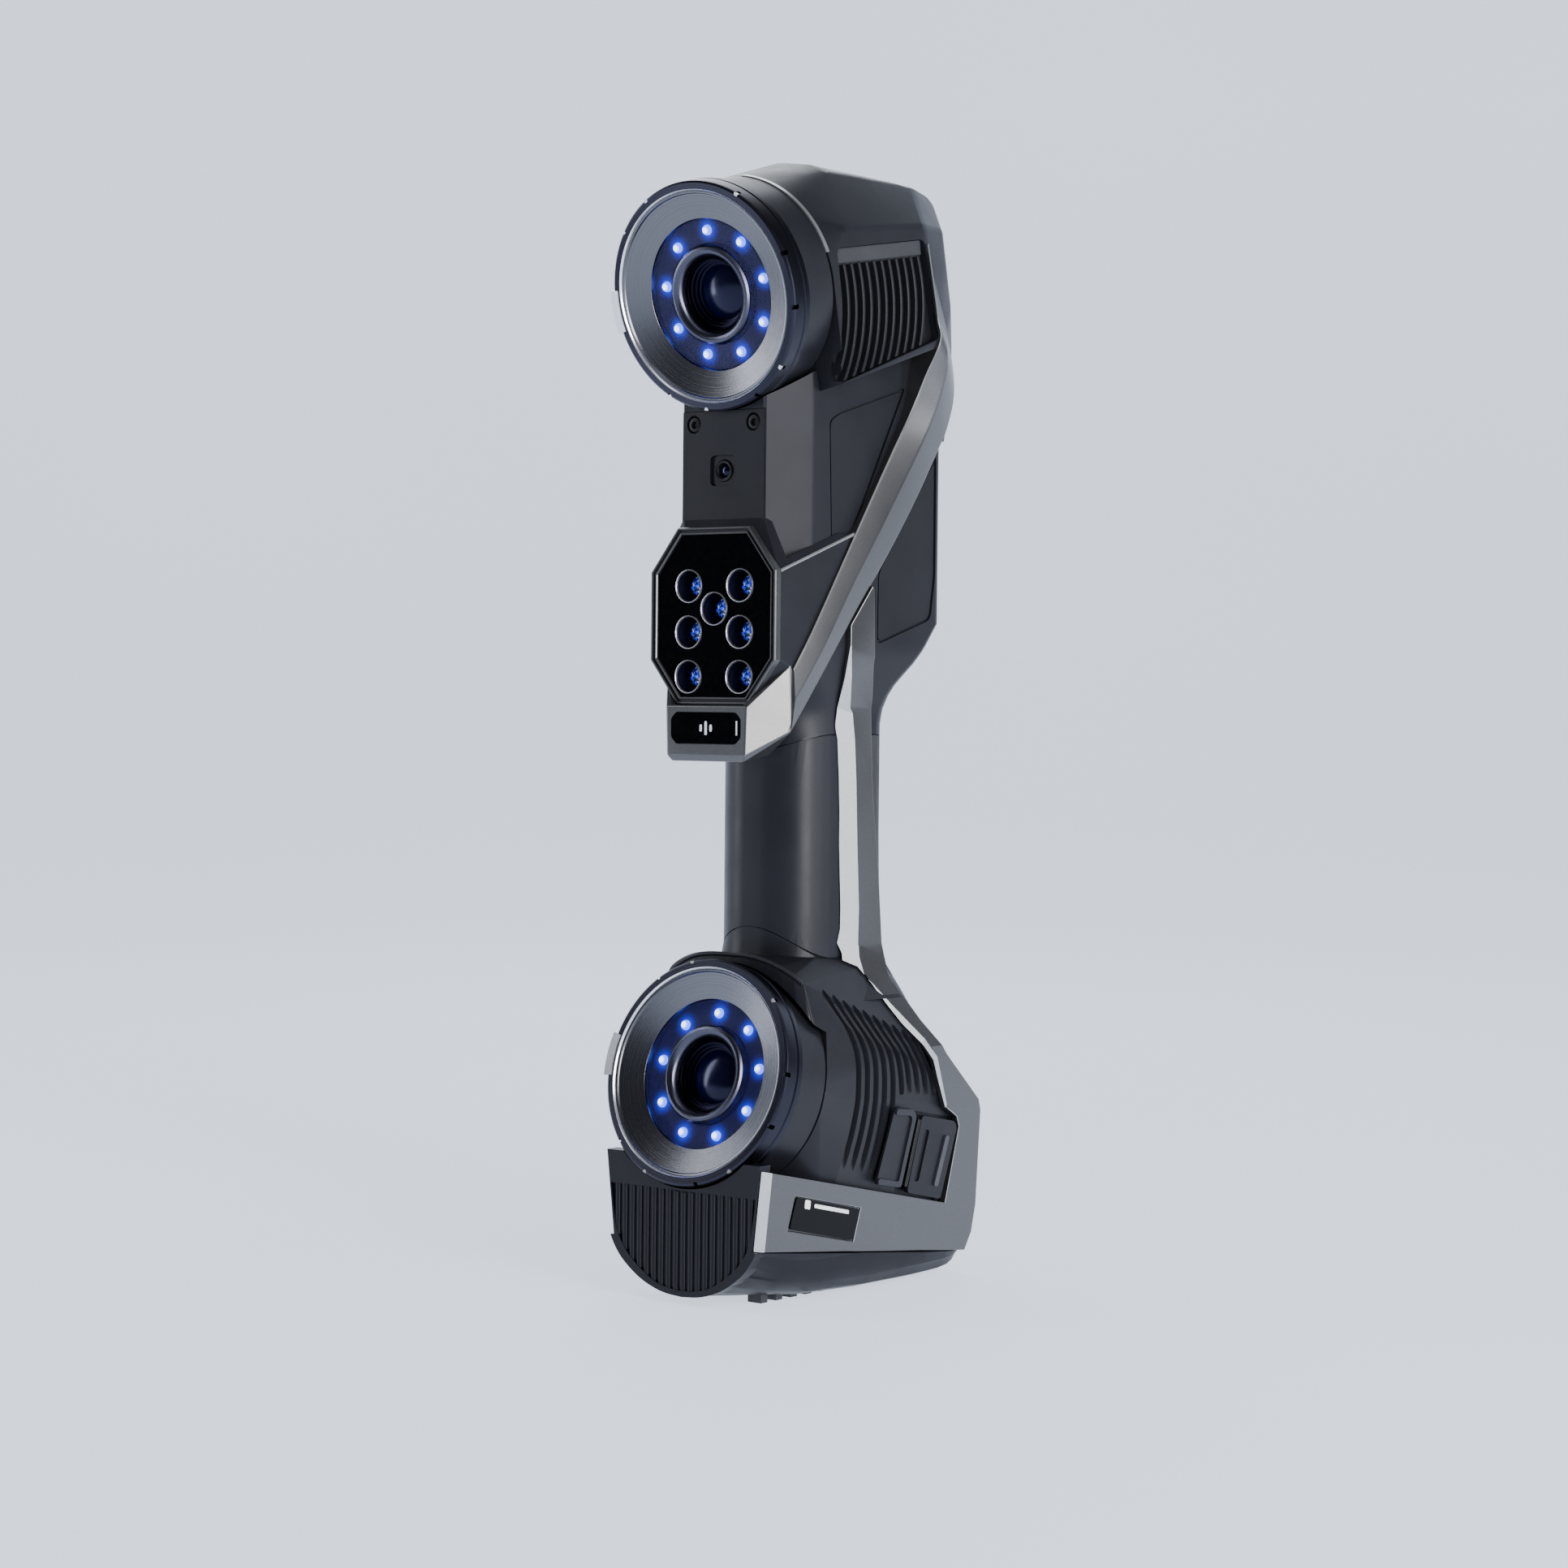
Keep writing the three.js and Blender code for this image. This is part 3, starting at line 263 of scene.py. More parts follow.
def lens_material():
    """Coated front element: a violet and blue sheen painted into the base colour by view angle, standing in
    for the coating's reflection at a slant; nearly black straight on.
    """
    s = Surface("coated_lens", Specular_Tint=(0.55, 0.58, 1.0, 1), Specular_IOR_Level=0.35)
    # Painted reflection: the base colour gets brighter and bluer towards grazing view.
    facing = s.node("LayerWeight", [("Blend", 0.35)]).outputs["Facing"]
    s.feed("Base Color", s.ramp(facing, (0.0, (0.001, 0.001, 0.004)), (0.45, (0.003, 0.003, 0.018)),
                                (1.0, (0.02, 0.012, 0.06))))
    s.feed("Roughness", s.spread(s.noise(150, 4), 0.16, 0.24))
    return s.data


def laser_lens_material():
    """A laser line lens: dark glass with a painted blue glint, a speckle of emission."""
    s = Surface("laser_lens", Roughness=0.12, Specular_IOR_Level=0.3)
    spark = s.split(s.cells(1150).outputs["Color"])
    radius, _, _ = s.from_axis()
    fade = s.math("SUBTRACT", 1.0, s.math("DIVIDE", radius, 0.0042), clamp=True)
    # Painted glint: bright cells of emission that fade out towards the lens rim.
    painted_glint = s.math("MULTIPLY", s.math("POWER", spark[0], 2.2), fade)
    s.feed("Emission Color", s.ramp(spark[1], (0.0, (0.015, 0.03, 0.9)), (0.75, (0.03, 0.07, 1.0)),
                                    (1.0, (0.4, 0.55, 1.0))))
    s.feed("Emission Strength", s.math("MULTIPLY", painted_glint, 2.6))
    s.feed("Base Color", s.ramp(spark[2], (0.0, (0.004, 0.005, 0.02)), (1.0, (0.01, 0.012, 0.05))))
    return s.data


def black_glass_material():
    s = Surface("black_glass", Specular_IOR_Level=0.1)
    dust = s.noise(400, 5, 0.7)
    s.feed("Base Color", s.ramp(dust, (0.4, (0.0006, 0.0006, 0.001)), (0.8, (0.0016, 0.0016, 0.0028))))
    s.feed("Roughness", s.spread(dust, 0.06, 0.12))
    return s.data


def rubber_material():
    s = Surface("grip_rubber")
    s.feed("Base Color", s.ramp(s.noise(40), (0.3, (0.008, 0.008, 0.011)), (0.7, (0.014, 0.014, 0.019))))
    s.feed("Roughness", s.spread(s.noise(90), 0.5, 0.62))
    s.bump((s.cells(1500).outputs["Distance"], 0.35, 0.00008))
    return s.data


def board_material():
    """Solder mask with copper tracks."""
    s = Surface("circuit_board", Roughness=0.4)
    tracks = s.node("TexBrick", [("Vector", s.place()), ("Scale", 160), ("Color1", (0.01, 0.09, 0.04, 1)),
                                 ("Color2", (0.014, 0.11, 0.05, 1)), ("Mortar", (0.03, 0.2, 0.08, 1))])
    s.feed("Base Color", tracks.outputs["Color"])
    s.bump((tracks.outputs["Fac"], 0.2, 0.00003))
    return s.data


CHARCOAL = satin("charcoal_shell", (0.0115, 0.012, 0.0165), 0.38, metallic=0.3)
# Lighter copies of the charcoal: painted highlights for raised lips, ledges, bars, rims and collars that
# catch the light.
CHARCOAL_LIT_COPY = satin("charcoal_painted_highlight", (0.06, 0.062, 0.07), 0.3, metallic=0.5)
CHARCOAL_HALF_LIT_COPY = satin("charcoal_painted_soft_highlight", (0.024, 0.025, 0.031), 0.34, metallic=0.4)
CHARCOAL_SIDE = satin("charcoal_panel", (0.0075, 0.008, 0.0115), 0.42, metallic=0.2)
DARK = satin("dark_shell", (0.0028, 0.003, 0.0068), 0.42, metallic=0.1)
FINS = satin("fin_black", (0.007, 0.0075, 0.01), 0.42, metallic=0.25)
BLACK_PLASTIC = satin("black_plastic", (0.002, 0.002, 0.003), 0.35)
SILVER = metal_paint("silver_frame", (0.088, 0.088, 0.093))
# Lighter copies of the silver paint for painted highlights: a lit copy for facets and lips that face the
# lights, and a near-white one for bright edge lines, chips and the lug.
SILVER_LIT_COPY = metal_paint("silver_lit_copy", (0.42, 0.425, 0.44))
SILVER_HIGHLIGHT = metal_paint("silver_painted_highlight", (0.75, 0.76, 0.8), 0.2)
CUP_RIM = metal_paint("laser_cup_rim", (0.30, 0.30, 0.33), 0.22)
MACHINED = turned_metal("machined_cone", (0.14, 0.142, 0.16), 0.22)
RIM = turned_metal("anodised_rim", (0.03, 0.031, 0.045), 0.3, depth=0.1)
TRIM = turned_metal("lens_trim", (0.075, 0.077, 0.11), 0.26, depth=0.12)
LENS_BLACK = turned_metal("lens_inner_black", (0.008, 0.008, 0.02), 0.28, pitch=0.0006)
STEEL = satin("steel", (0.42, 0.43, 0.45), 0.3, metallic=1.0, grain=2600)
LAMP_BOARD = lamp_board_material()
LAMP_CORE = lamp_core_material()
FILTER = filter_material()
LENS = lens_material()
LASER_LENS = laser_lens_material()
BLACK_GLASS = black_glass_material()
RUBBER = rubber_material()
BOARD = board_material()
KEY_RUBBER = satin("key_rubber", (0.02, 0.02, 0.026), 0.55, grain=900)
MARK = satin("printed_mark", (0.75, 0.76, 0.8), 0.4)


# ---------- mesh helpers
# Shapes are given in millimetres and held in metres, in the design's axes or in a piece's own.
def add_piece(name, bm, materials, slot, body=ROOT, matrix=None, replaces=(), sharp=30):
    """A smooth-shaded piece riding on its body. Without a matrix its shape is in the design's axes."""
    if matrix is None:
        bmesh.ops.translate(bm, verts=bm.verts, vec=ORIGIN)
    bmesh.ops.recalc_face_normals(bm, faces=bm.faces)
    mesh = bpy.data.meshes.new(name)
    bm.to_mesh(mesh)
    bm.free()
    for polygon in mesh.polygons:
        polygon.use_smooth = True
    mesh.set_sharp_from_angle(angle=math.radians(sharp))
    for material in materials if isinstance(materials, list) else [materials]:
        mesh.materials.append(material)
    obj = bpy.data.objects.new(name, mesh)
    bpy.context.scene.collection.objects.link(obj)
    if matrix is not None:
        obj.matrix_world = matrix
    modifier = obj.modifiers.new("weighted", "WEIGHTED_NORMAL")
    modifier.keep_sharp = True
    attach(obj, body)
    if replaces:
        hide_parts(*replaces)
    return obj


def finish(node, bm, materials, slot, **how):
    """The finished piece that stands for one CAD node."""
    return add_piece(node + "_finished", bm, materials, slot, replaces=[node], **how)


def fold(edge):
    """How far, in degrees, the surface turns at an edge."""
    return math.degrees(edge.calc_face_angle(0)) if len(edge.link_faces) == 2 else 0


def bevel_edges(bm, edges, width, segments, profile=0.6, slide=True):
    if edges:
        bmesh.ops.bevel(bm, geom=edges, offset=width * MM, offset_type="OFFSET", segments=segments,
                        profile=profile, affect="EDGES", clamp_overlap=True, loop_slide=slide)
    return bm


def bevelled(bm, width, segments=2, angle=28):
    return bevel_edges(bm, [e for e in bm.edges if fold(e) > angle], width, segments)


def moved(bm, x, y, z):
    bmesh.ops.translate(bm, verts=bm.verts, vec=Vector((x, y, z)) * MM)
    return bm


def turned(bm, matrix):
    bmesh.ops.transform(bm, matrix=matrix, verts=bm.verts)
    return bm


def for_side(bm, side):
    """A shape made on the right, mirrored when it is for the left."""
    if side < 0:
        bmesh.ops.scale(bm, vec=(-1, 1, 1), verts=bm.verts)
        bmesh.ops.reverse_faces(bm, faces=bm.faces)
    return bm


def cad_bmesh(node):
    """A copy of a CAD node in the design's axes, with its flat faces merged."""
    bm = bmesh.new()
    bm.from_mesh(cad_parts[node].data)
    bmesh.ops.translate(bm, verts=bm.verts, vec=-ORIGIN)
    bmesh.ops.remove_doubles(bm, verts=bm.verts, dist=0.00001)
    bmesh.ops.dissolve_limit(bm, angle_limit=math.radians(1.2), verts=bm.verts, edges=bm.edges)
    return bm


def lathe(profile, segments=128):
    """Turned about the local y axis from (radius, distance): a ring, or solid where it starts on the axis."""
    bm = bmesh.new()
    rings = []
    for r, d in profile:
        if r < 1e-6:
            rings.append([bm.verts.new((0, d * MM, 0))])
            continue
        ring = []
        for i in range(segments):
            a = 2 * math.pi * i / segments
            ring.append(bm.verts.new((r * math.sin(a) * MM, d * MM, r * math.cos(a) * MM)))
        rings.append(ring)
    pairs = list(zip(rings, rings[1:]))
    if profile[0][0] > 0:
        pairs.append((rings[-1], rings[0]))
    for a, b in pairs:
        for i in range(segments):
            j = (i + 1) % segments
            if len(a) == 1:
                bm.faces.new((a[0], b[j], b[i]))
            elif len(b) == 1:
                bm.faces.new((a[i], a[j], b[0]))
            else:
                bm.faces.new((a[i], a[j], b[j], b[i]))
    return bm


def loft(rings, cap=True):
    """rings: lists of points, all with the same count, each a closed loop."""
    bm = bmesh.new()
    made = [[bm.verts.new(Vector(p) * MM) for p in ring] for ring in rings]
    count = len(rings[0])
    for a, b in zip(made, made[1:]):
        for i in range(count):
            j = (i + 1) % count
            bm.faces.new((a[i], a[j], b[j], b[i]))
    if cap:
        bm.faces.new(list(reversed(made[0])))
        bm.faces.new(made[-1])
    return bm


def side_prism(outline, x0, x1):
    """outline: (y, z)."""
    return loft([[(x, y, z) for y, z in outline] for x in (x0, x1)])


def front_prism(outline, y0, y1):
    """outline: (x, z)."""
    return loft([[(x, y, z) for x, z in outline] for y in (y0, y1)])


def box_between(x0, x1, y0, y1, z0, z1):
    return loft([[(x0, y0, z), (x1, y0, z), (x1, y1, z), (x0, y1, z)] for z in (z0, z1)])


def cylinder(r, d0, d1, steps=96):
    return lathe([(0, d0), (r, d0), (r, d1), (0, d1)], steps)


def hull(points):
    bm = bmesh.new()
    for p in points:
        bm.verts.new(Vector(p) * MM)
    out = bmesh.ops.convex_hull(bm, input=bm.verts)
    inside = {g for g in out["geom_interior"] + out["geom_unused"] if isinstance(g, bmesh.types.BMVert)}
    bmesh.ops.delete(bm, geom=list(inside), context="VERTS")
    bmesh.ops.dissolve_limit(bm, angle_limit=math.radians(0.4), verts=bm.verts, edges=bm.edges)
    return bm


def join_bmesh(*parts):
    out = bmesh.new()
    for part in parts:
        mesh = bpy.data.meshes.new("joined")
        part.to_mesh(mesh)
        part.free()
        out.from_mesh(mesh)
        bpy.data.meshes.remove(mesh)
    return out


def temporary(bm):
    mesh = bpy.data.meshes.new("temporary")
    bmesh.ops.recalc_face_normals(bm, faces=bm.faces)
    bm.to_mesh(mesh)
    bm.free()
    obj = bpy.data.objects.new("temporary", mesh)
    bpy.context.scene.collection.objects.link(obj)
    return obj


def carve(bm, *cutters, operation="DIFFERENCE"):
    """The solid in bm less each cutter, or joined with it or kept within it, as a new bmesh."""
    base = temporary(bm)
    tools = [temporary(c) for c in cutters]
    for tool in tools:
        modifier = base.modifiers.new("cut", "BOOLEAN")
        modifier.operation = operation
        modifier.solver = "EXACT"
        modifier.object = tool
    bpy.context.view_layer.update()
    graph = bpy.context.evaluated_depsgraph_get()
    out = bmesh.new()
    out.from_mesh(base.evaluated_get(graph).to_mesh())
    base.evaluated_get(graph).to_mesh_clear()
    for obj in [base, *tools]:
        mesh = obj.data
        bpy.data.objects.remove(obj)
        bpy.data.meshes.remove(mesh)
    bmesh.ops.remove_doubles(out, verts=out.verts, dist=0.000004)
    return out


# ---------- outlines and curves
def mirrored(points):
    """The right half of an outline with its left half added."""
    return [*points, *[(-a, b) for a, b in reversed(points) if a > 0]]


def both_sides(points):
    return [*points, *[(-x, y, z) for x, y, z in points]]


def mix(a, b, t):
    return tuple(p + (q - p) * t for p, q in zip(a, b))


def table(rows, z):
    """Straight-line value at z in rows of (z, value), sorted by z."""
    if z <= rows[0][0]:
        return rows[0][1]
    for (z0, a), (z1, b) in zip(rows, rows[1:]):
        if z <= z1:
            return a + (b - a) * (z - z0) / (z1 - z0)
    return rows[-1][1]


def quarter(cx, cy, r, start, steps):
    """A quarter circle, anticlockwise from the start angle."""
    angles = [start + math.pi / 2 * k / steps for k in range(steps + 1)]
    return [(cx + r * math.cos(a), cy + r * math.sin(a)) for a in angles]


def rounded(points, radius, steps=5):
    """A closed outline with its corners rounded."""
    out = []
    count = len(points)
    for i, point in enumerate(points):
        p = Vector(point)
        a = Vector(points[i - 1]) - p
        b = Vector(points[(i + 1) % count]) - p
        cut = min(radius, a.length * 0.45, b.length * 0.45)
        start, end = p + a.normalized() * cut, p + b.normalized() * cut
        for k in range(steps + 1):
            t = k / steps
            q = (1 - t) ** 2 * start + 2 * t * (1 - t) * p + t ** 2 * end
            out.append((q.x, q.y))
    return out


def shrunk(outline, distance):
    """A convex outline moved inwards by distance."""
    count = len(outline)
    area = sum(outline[i - 1][0] * outline[i][1] - outline[i][0] * outline[i - 1][1] for i in range(count))
    turn = 1 if area > 0 else -1
    lines = []
    for i in range(count):
        a, b = Vector(outline[i]), Vector(outline[(i + 1) % count])
        along = (b - a).normalized()
        inward = Vector((-along.y, along.x)) * turn
        lines.append((a + inward * distance, along))
    out = []
    for i in range(count):
        (p, u), (q, v) = lines[i - 1], lines[i]
        t = (q - p).cross(v) / u.cross(v)
        out.append(tuple(p + u * t))
    return out


def smooth_line(points, steps=6):
    """A Catmull-Rom curve through the points."""
    pts = [Vector(p) for p in points]
    pts = [2 * pts[0] - pts[1], *pts, 2 * pts[-1] - pts[-2]]
    out = []
    for i in range(1, len(pts) - 2):
        p0, p1, p2, p3 = pts[i - 1:i + 3]
        for k in range(steps):
            t = k / steps
            out.append(0.5 * (2 * p1 + (p2 - p0) * t + (2 * p0 - 5 * p1 + 4 * p2 - p3) * t ** 2
                              + (3 * p1 - p0 - 3 * p2 + p3) * t ** 3))
    out.append(pts[-2])
    return out


def camera_circle(side, r, d):
    """A circle round a camera's optical axis, in the design's axes."""
    steps = 96
    m = camera_design(side)
    angles = [2 * math.pi * i / steps for i in range(steps)]
    return [m @ Vector((r * math.sin(a), d, r * math.cos(a))) for a in angles]


def camera_room(side, r, d0, d1):
    """A cylinder round a camera's optical axis, in the design's axes."""
    m = camera_design(side)
    m.translation = m.translation * MM
    return turned(cylinder(r, d0, d1), m)


def arc_block(r0, r1, d0, d1, middle, half, steps=14):
    """A block bent round the optical axis; middle and half are degrees from the top, clockwise."""
    rings = []
    for i in range(steps + 1):
        a = math.radians(middle - half + 2 * half * i / steps)
        s, c = math.sin(a), math.cos(a)
        rings.append([(r * s, d, r * c) for r, d in ((r0, d0), (r1, d0), (r1, d1), (r0, d1))])
    return loft(rings)


def upper_seam(x):
    return -24 + 6 * (x / 24) ** 2


def lower_seam(x):
    return -92 - 12 * (x / 24) ** 2


def past_seam(seam, offset, limit):
    """Everything on one side of a grip seam, from the seam to the height limit."""
    line = [(x, seam(x) + offset) for x in range(-32, 33, 2)]
    return front_prism([*line, (32, limit), (-32, limit)], -60, 90)


# ---------- upper pod
POD = [
    (0, -3, 201), (13, -3, 199.2), (23, -3, 195.8), (24, 49, 196.2), (22, 61, 194.6), (22, 66.5, 191.5),
    (40, -13, 171.5), (40, 36, 178), (36.5, 53, 178), (28.5, 61, 180),
    (35, 61, 150), (28, 70.6, 144), (28, 71.8, 128), (28, 70.6, 112), (28, 66.8, 97.5),
    (40, -13, 112.6), (40, 46.5, 134.8), (38, 54, 136), (28, -11, 102),
]
POD_UNDERSIDE = [(28, -60, 96.8), (28, 52, 131.5), (50, -60, 101.4), (50, 52, 136.1)]
VENT = [(-20.4, 163.2), (35.6, 172.9), (46.6, 135.6), (-15.2, 113.4)]
VENT_FINS = 12


def under_pod():
    """The room under the pod: a middle block and one that rises outwards on each side."""
    left = [(-x, y, z) for x, y, z in POD_UNDERSIDE]
    blocks = []
    for edges in (POD_UNDERSIDE, left, both_sides(POD_UNDERSIDE[:2])):
        blocks.append(hull([p for x, y, z in edges for p in ((x, y, z), (x, y, 70))]))
    return blocks


def pod_solid(grow=0.0):
    return carve(hull([*camera_circle(1, BARREL_R + grow, BARREL_END), *both_sides(POD)]), *under_pod())


def build_pod():
    pod = hull([*camera_circle(1, BARREL_R, BARREL_END + 0.3), *both_sides(POD)])
    folds = [e for e in pod.edges if fold(e) > 7 and min(v.co.y for v in e.verts) > -0.014
             and max(v.co.z for v in e.verts) > 0.14]
    bevel_edges(pod, folds, 1.9, 4, profile=0.5, slide=False)
    vent = rounded(VENT, 3.2)
    shell = carve(pod, *under_pod(), side_prism(vent, 36.4, 50), side_prism(vent, -50, -36.4),
                  camera_room(1, 37.4, 0, 40), box_between(-26, 26, -8, 48, 95, 125))
    finish("upper_shell", shell, CHARCOAL, "charcoal", sharp=24)
    # Painted highlight: the front lips are charcoal, drawn in the lit silver copy for the bright line along
    # the pod's front rim.
    lips = [bevelled(arc_block(40.4, 42.0, BARREL_END - 0.6, BARREL_END + 1.2, middle, 34, 36), 0.6, 3)
            for middle in (42, -42)]
    add_piece("pod_front_lips", join_bmesh(*lips), SILVER_LIT_COPY, "charcoal", matrix=camera_matrix(1))
    for side, label in SIDES:
        build_vent(side, label)


def vent_blade(y, z):
    """A fin that bulges rearward, thicker at its root than at its edge."""
    radius, half_angle, thick = 51, 0.62, 1.15
    root, edge = 36.2, 39.5
    section = [(root, thick), (edge - 0.35, thick * 0.62), (edge, thick * 0.3)]
    section += [(x, -half) for x, half in reversed(section)]
    steps = 16
    rings = []
    for k in range(steps + 1):
        angle = half_angle * (2 * k / steps - 1)
        back, up = math.cos(angle), math.sin(angle)
        rings.append([(x, y - radius + (radius + half) * back, z + (radius + half) * up)
                      for x, half in section])
    return loft(rings)


def build_vent(side, label):
    (y0, z0), (y1, z1) = VENT[:2]
    slope = (z1 - z0) / (y1 - y0)
    inside = [(-19.6, 156.8), (37.2, 156.8 + 56.8 * slope), (45.6, 136.0), (-14.6, 114.2)]
    blades = join_bmesh(*[vent_blade(-15.2 + i * 4.75, 139.2 + i * 0.62) for i in range(VENT_FINS)])
    blades = carve(blades, side_prism(inside, 30, 45), operation="INTERSECT")
    back = side_prism(rounded([(-20, 162.8), (35.3, 172.4), (46.2, 135.9), (-14.9, 113.8)], 3), 35.2, 36.5)
    finish("upper_fins_" + label, for_side(join_bmesh(blades, back), side), FINS, "dark")
    rings = []
    # Painted highlight: the ledge over the vent is drawn in the lighter charcoal copy.
    for y, top, x in ((-19.9, 163.0, 38.9), (-19.0, 163.2, 39.4), (34.0, 172.3, 39.4), (35.2, 172.4, 38.9)):
        rings.append([(36.2, y, top - 6.2), (x - 1.2, y, top - 6.2), (x, y, top - 5.4), (x - 0.5, y, top),
                      (36.2, y, top)])
    add_piece("vent_ledge_" + label, for_side(loft(rings), side), CHARCOAL_LIT_COPY, "charcoal")


# ---------- middle housing
SIDE_PANELS = {
    "above": [(41.2, 117), (-1.6, 104.2), (-7.2, 101), (-5.1, 40), (2, 48)],
    "below": [(61.8, 92), (61.9, 44), (59, 27), (24, 16.4), (24.4, 44.5)],
}
HOUSING_BACK = [(-24, 38.5), (-14, 38.7), (-8, 39.6), (-3, 41.4), (1, 44.2), (5, 48.4), (9.5, 53.4),
                (17, 60), (25.5, 66.6)]
HOUSING_LEVELS = [-26, -24, -20, -17, -14, -11, -8, -5.5, -3, -1, 1, 3, 5, 7.2, 9.5, 12, 14.5, 17, 20, 23,
                  25.5, 28, 60, 100, 136]


def housing_ring(z):
    """The housing's section: a column above, drawn in to the grip's neck below."""
    width = table([(-9, 24), (14, 28)], z)
    back = table(HOUSING_BACK, z)
    corner = table([(-14, 10), (0, 8), (14, 6), (26, 4.6)], z)
    blend = table([(-12, 0), (16, 1)], z)
    blend = blend * blend * (3 - 2 * blend)
    column = [(0, -36.4), (19.2, -36.4), (20.2, -35.5), (24, -26.5), (27.6, -17.8), (28, -16.4), (28, -8)]
    neck = [(0, -17), (6, -16.9), (11.6, -15.5), (18.1, -11.1), (22.5, -4.7), (23.8, 0), (24, 3)]
    right = [mix(a, b, blend) for a, b in zip(neck, column)]
    right = [(min(x, width), y) for x, y in right]
    right += quarter(width - corner, back - corner, corner, 0, 6)
    return [(x, y, z) for x, y in mirrored([*right, (0, back)])]


def build_housing():
    body = loft([housing_ring(z) for z in HOUSING_LEVELS])
    wells = []
    for outline in SIDE_PANELS.values():
        shape = rounded(outline, 3)
        wells += [side_prism(shape, 27.0, 40), side_prism(shape, -40, -27.0)]
    body = carve(body, camera_room(1, BEZEL_R + 0.5, -12, BARREL_END + 4), pod_solid(0.2), *wells,
                 box_between(-19.9, 19.9, -40, -34.2, 50, 103.7), past_seam(upper_seam, 0, -60),
                 box_between(-18, 18, 61.4, 80, 40, 86.5), *cup_holes())
    finish("middle_housing", body, CHARCOAL, "charcoal", sharp=22)
    for side, label in SIDES:
        for name, outline in SIDE_PANELS.items():
            panel = bevelled(side_prism(rounded(shrunk(outline, 1.0), 2.6), 26.6, 27.7), 0.45, 3)
            add_piece(f"panel_{name}_{label}", for_side(panel, side), CHARCOAL_SIDE, "charcoal")


# ---------- front plate
SCREW_X, SCREW_Z = 14.4, 98.8
EYE_Z = 81  # the small alignment camera


def build_plate():
    plate = bevelled(box_between(-19.7, 19.7, PLATE_FRONT, PLATE_FRONT + 2.3, 60, 103.5), 0.35)
    recess = rounded([(-6.2, 75.2), (6.2, 75.2), (6.2, 86.8), (-6.2, 86.8)], 2.4)
    cutters = [front_prism(recess, PLATE_FRONT - 1, PLATE_FRONT + 0.9),
               camera_room(1, BEZEL_R + 0.35, -12, BARREL_END)]
    for x, z, r, depth in ((-SCREW_X, SCREW_Z, 3.4, 1.5), (SCREW_X, SCREW_Z, 3.4, 1.5), (0, EYE_Z, 4.3, 4)):
        cutters.append(moved(cylinder(r, PLATE_FRONT - 1, PLATE_FRONT + depth, 48), x, 0, z))
    finish("front_plate", carve(plate, *cutters), DARK, "dark", sharp=25)
    for side, label in SIDES:
        head = lathe([(0, 1.3), (1.35, 1.3), (1.35, 0.55), (1.7, 0.35), (2.6, 0.42), (3.05, 0.75),
                      (3.05, 1.7), (0, 1.7)], 48)
        finish("plate_screw_" + label, head, BLACK_PLASTIC, "steel",
               matrix=Matrix.Translation(at(side * SCREW_X, PLATE_FRONT, SCREW_Z)))
    eye = Matrix.Translation(at(0, PLATE_FRONT, EYE_Z))
    snout = lathe([(2.5, 3.4), (2.6, 1.2), (2.95, 0.5), (3.5, 0.25), (4.0, 0.55), (4.1, 1.2), (4.1, 3.4)], 64)
    finish("alignment_camera", snout, BLACK_PLASTIC, "dark", matrix=eye)
    lens = lathe([(0, 1.1), (0.9, 1.2), (1.8, 1.55), (2.4, 2.1), (2.5, 3.2), (0, 3.2)], 48)
    add_piece("alignment_lens", lens, LENS, "lens", matrix=eye)


# ---------- laser projector and chin
PROJECTOR = [
    (17, -38.6, 59.3), (29.9, -38.6, 42.7), (29.9, -38.6, 10), (17, -38.6, -6.8),
    (19.7, -35.8, 63.6), (27.8, -17, 53), (29.7, 5.6, 58), (29.7, -16.9, 23.4), (29.7, -30.6, 6.6),
]
CHIN = [
    (19.4, -45.3, -8), (18.8, -45.3, -26.4), (17.4, -44, -28.6), (30, -32, 8), (30, -30.8, 6),
    (30, -30.8, -16.8), (17, -28, -26), (28, -28.5, -14),
]
LASERS = [(-12.4, 37.5), (12.4, 37.5), (0, 28.9), (-12.4, 20.1), (12.4, 20.1), (-12.4, 3.3), (12.4, 3.3)]
CUP_R = 6.55


def octagon(half, chamfer, top, bottom):
    flat, drop = half - chamfer, chamfer * 1.27
    return mirrored([(flat, top), (half, top - drop), (half, bottom + drop), (flat, bottom)])


def octagon_band(profile, outline):
    """profile: (how far in from the outline, y), closed, carried round the octagon."""
    rings = [[(x, y, z) for x, z in shrunk(outline, inset)] for inset, y in profile]
    bm = loft([*rings, rings[0]], cap=False)
    bmesh.ops.remove_doubles(bm, verts=bm.verts, dist=0.000001)
    return bm


def cup_holes():
    return [moved(cylinder(CUP_R, -43, -30, 64), x, 0, z) for x, z in LASERS]


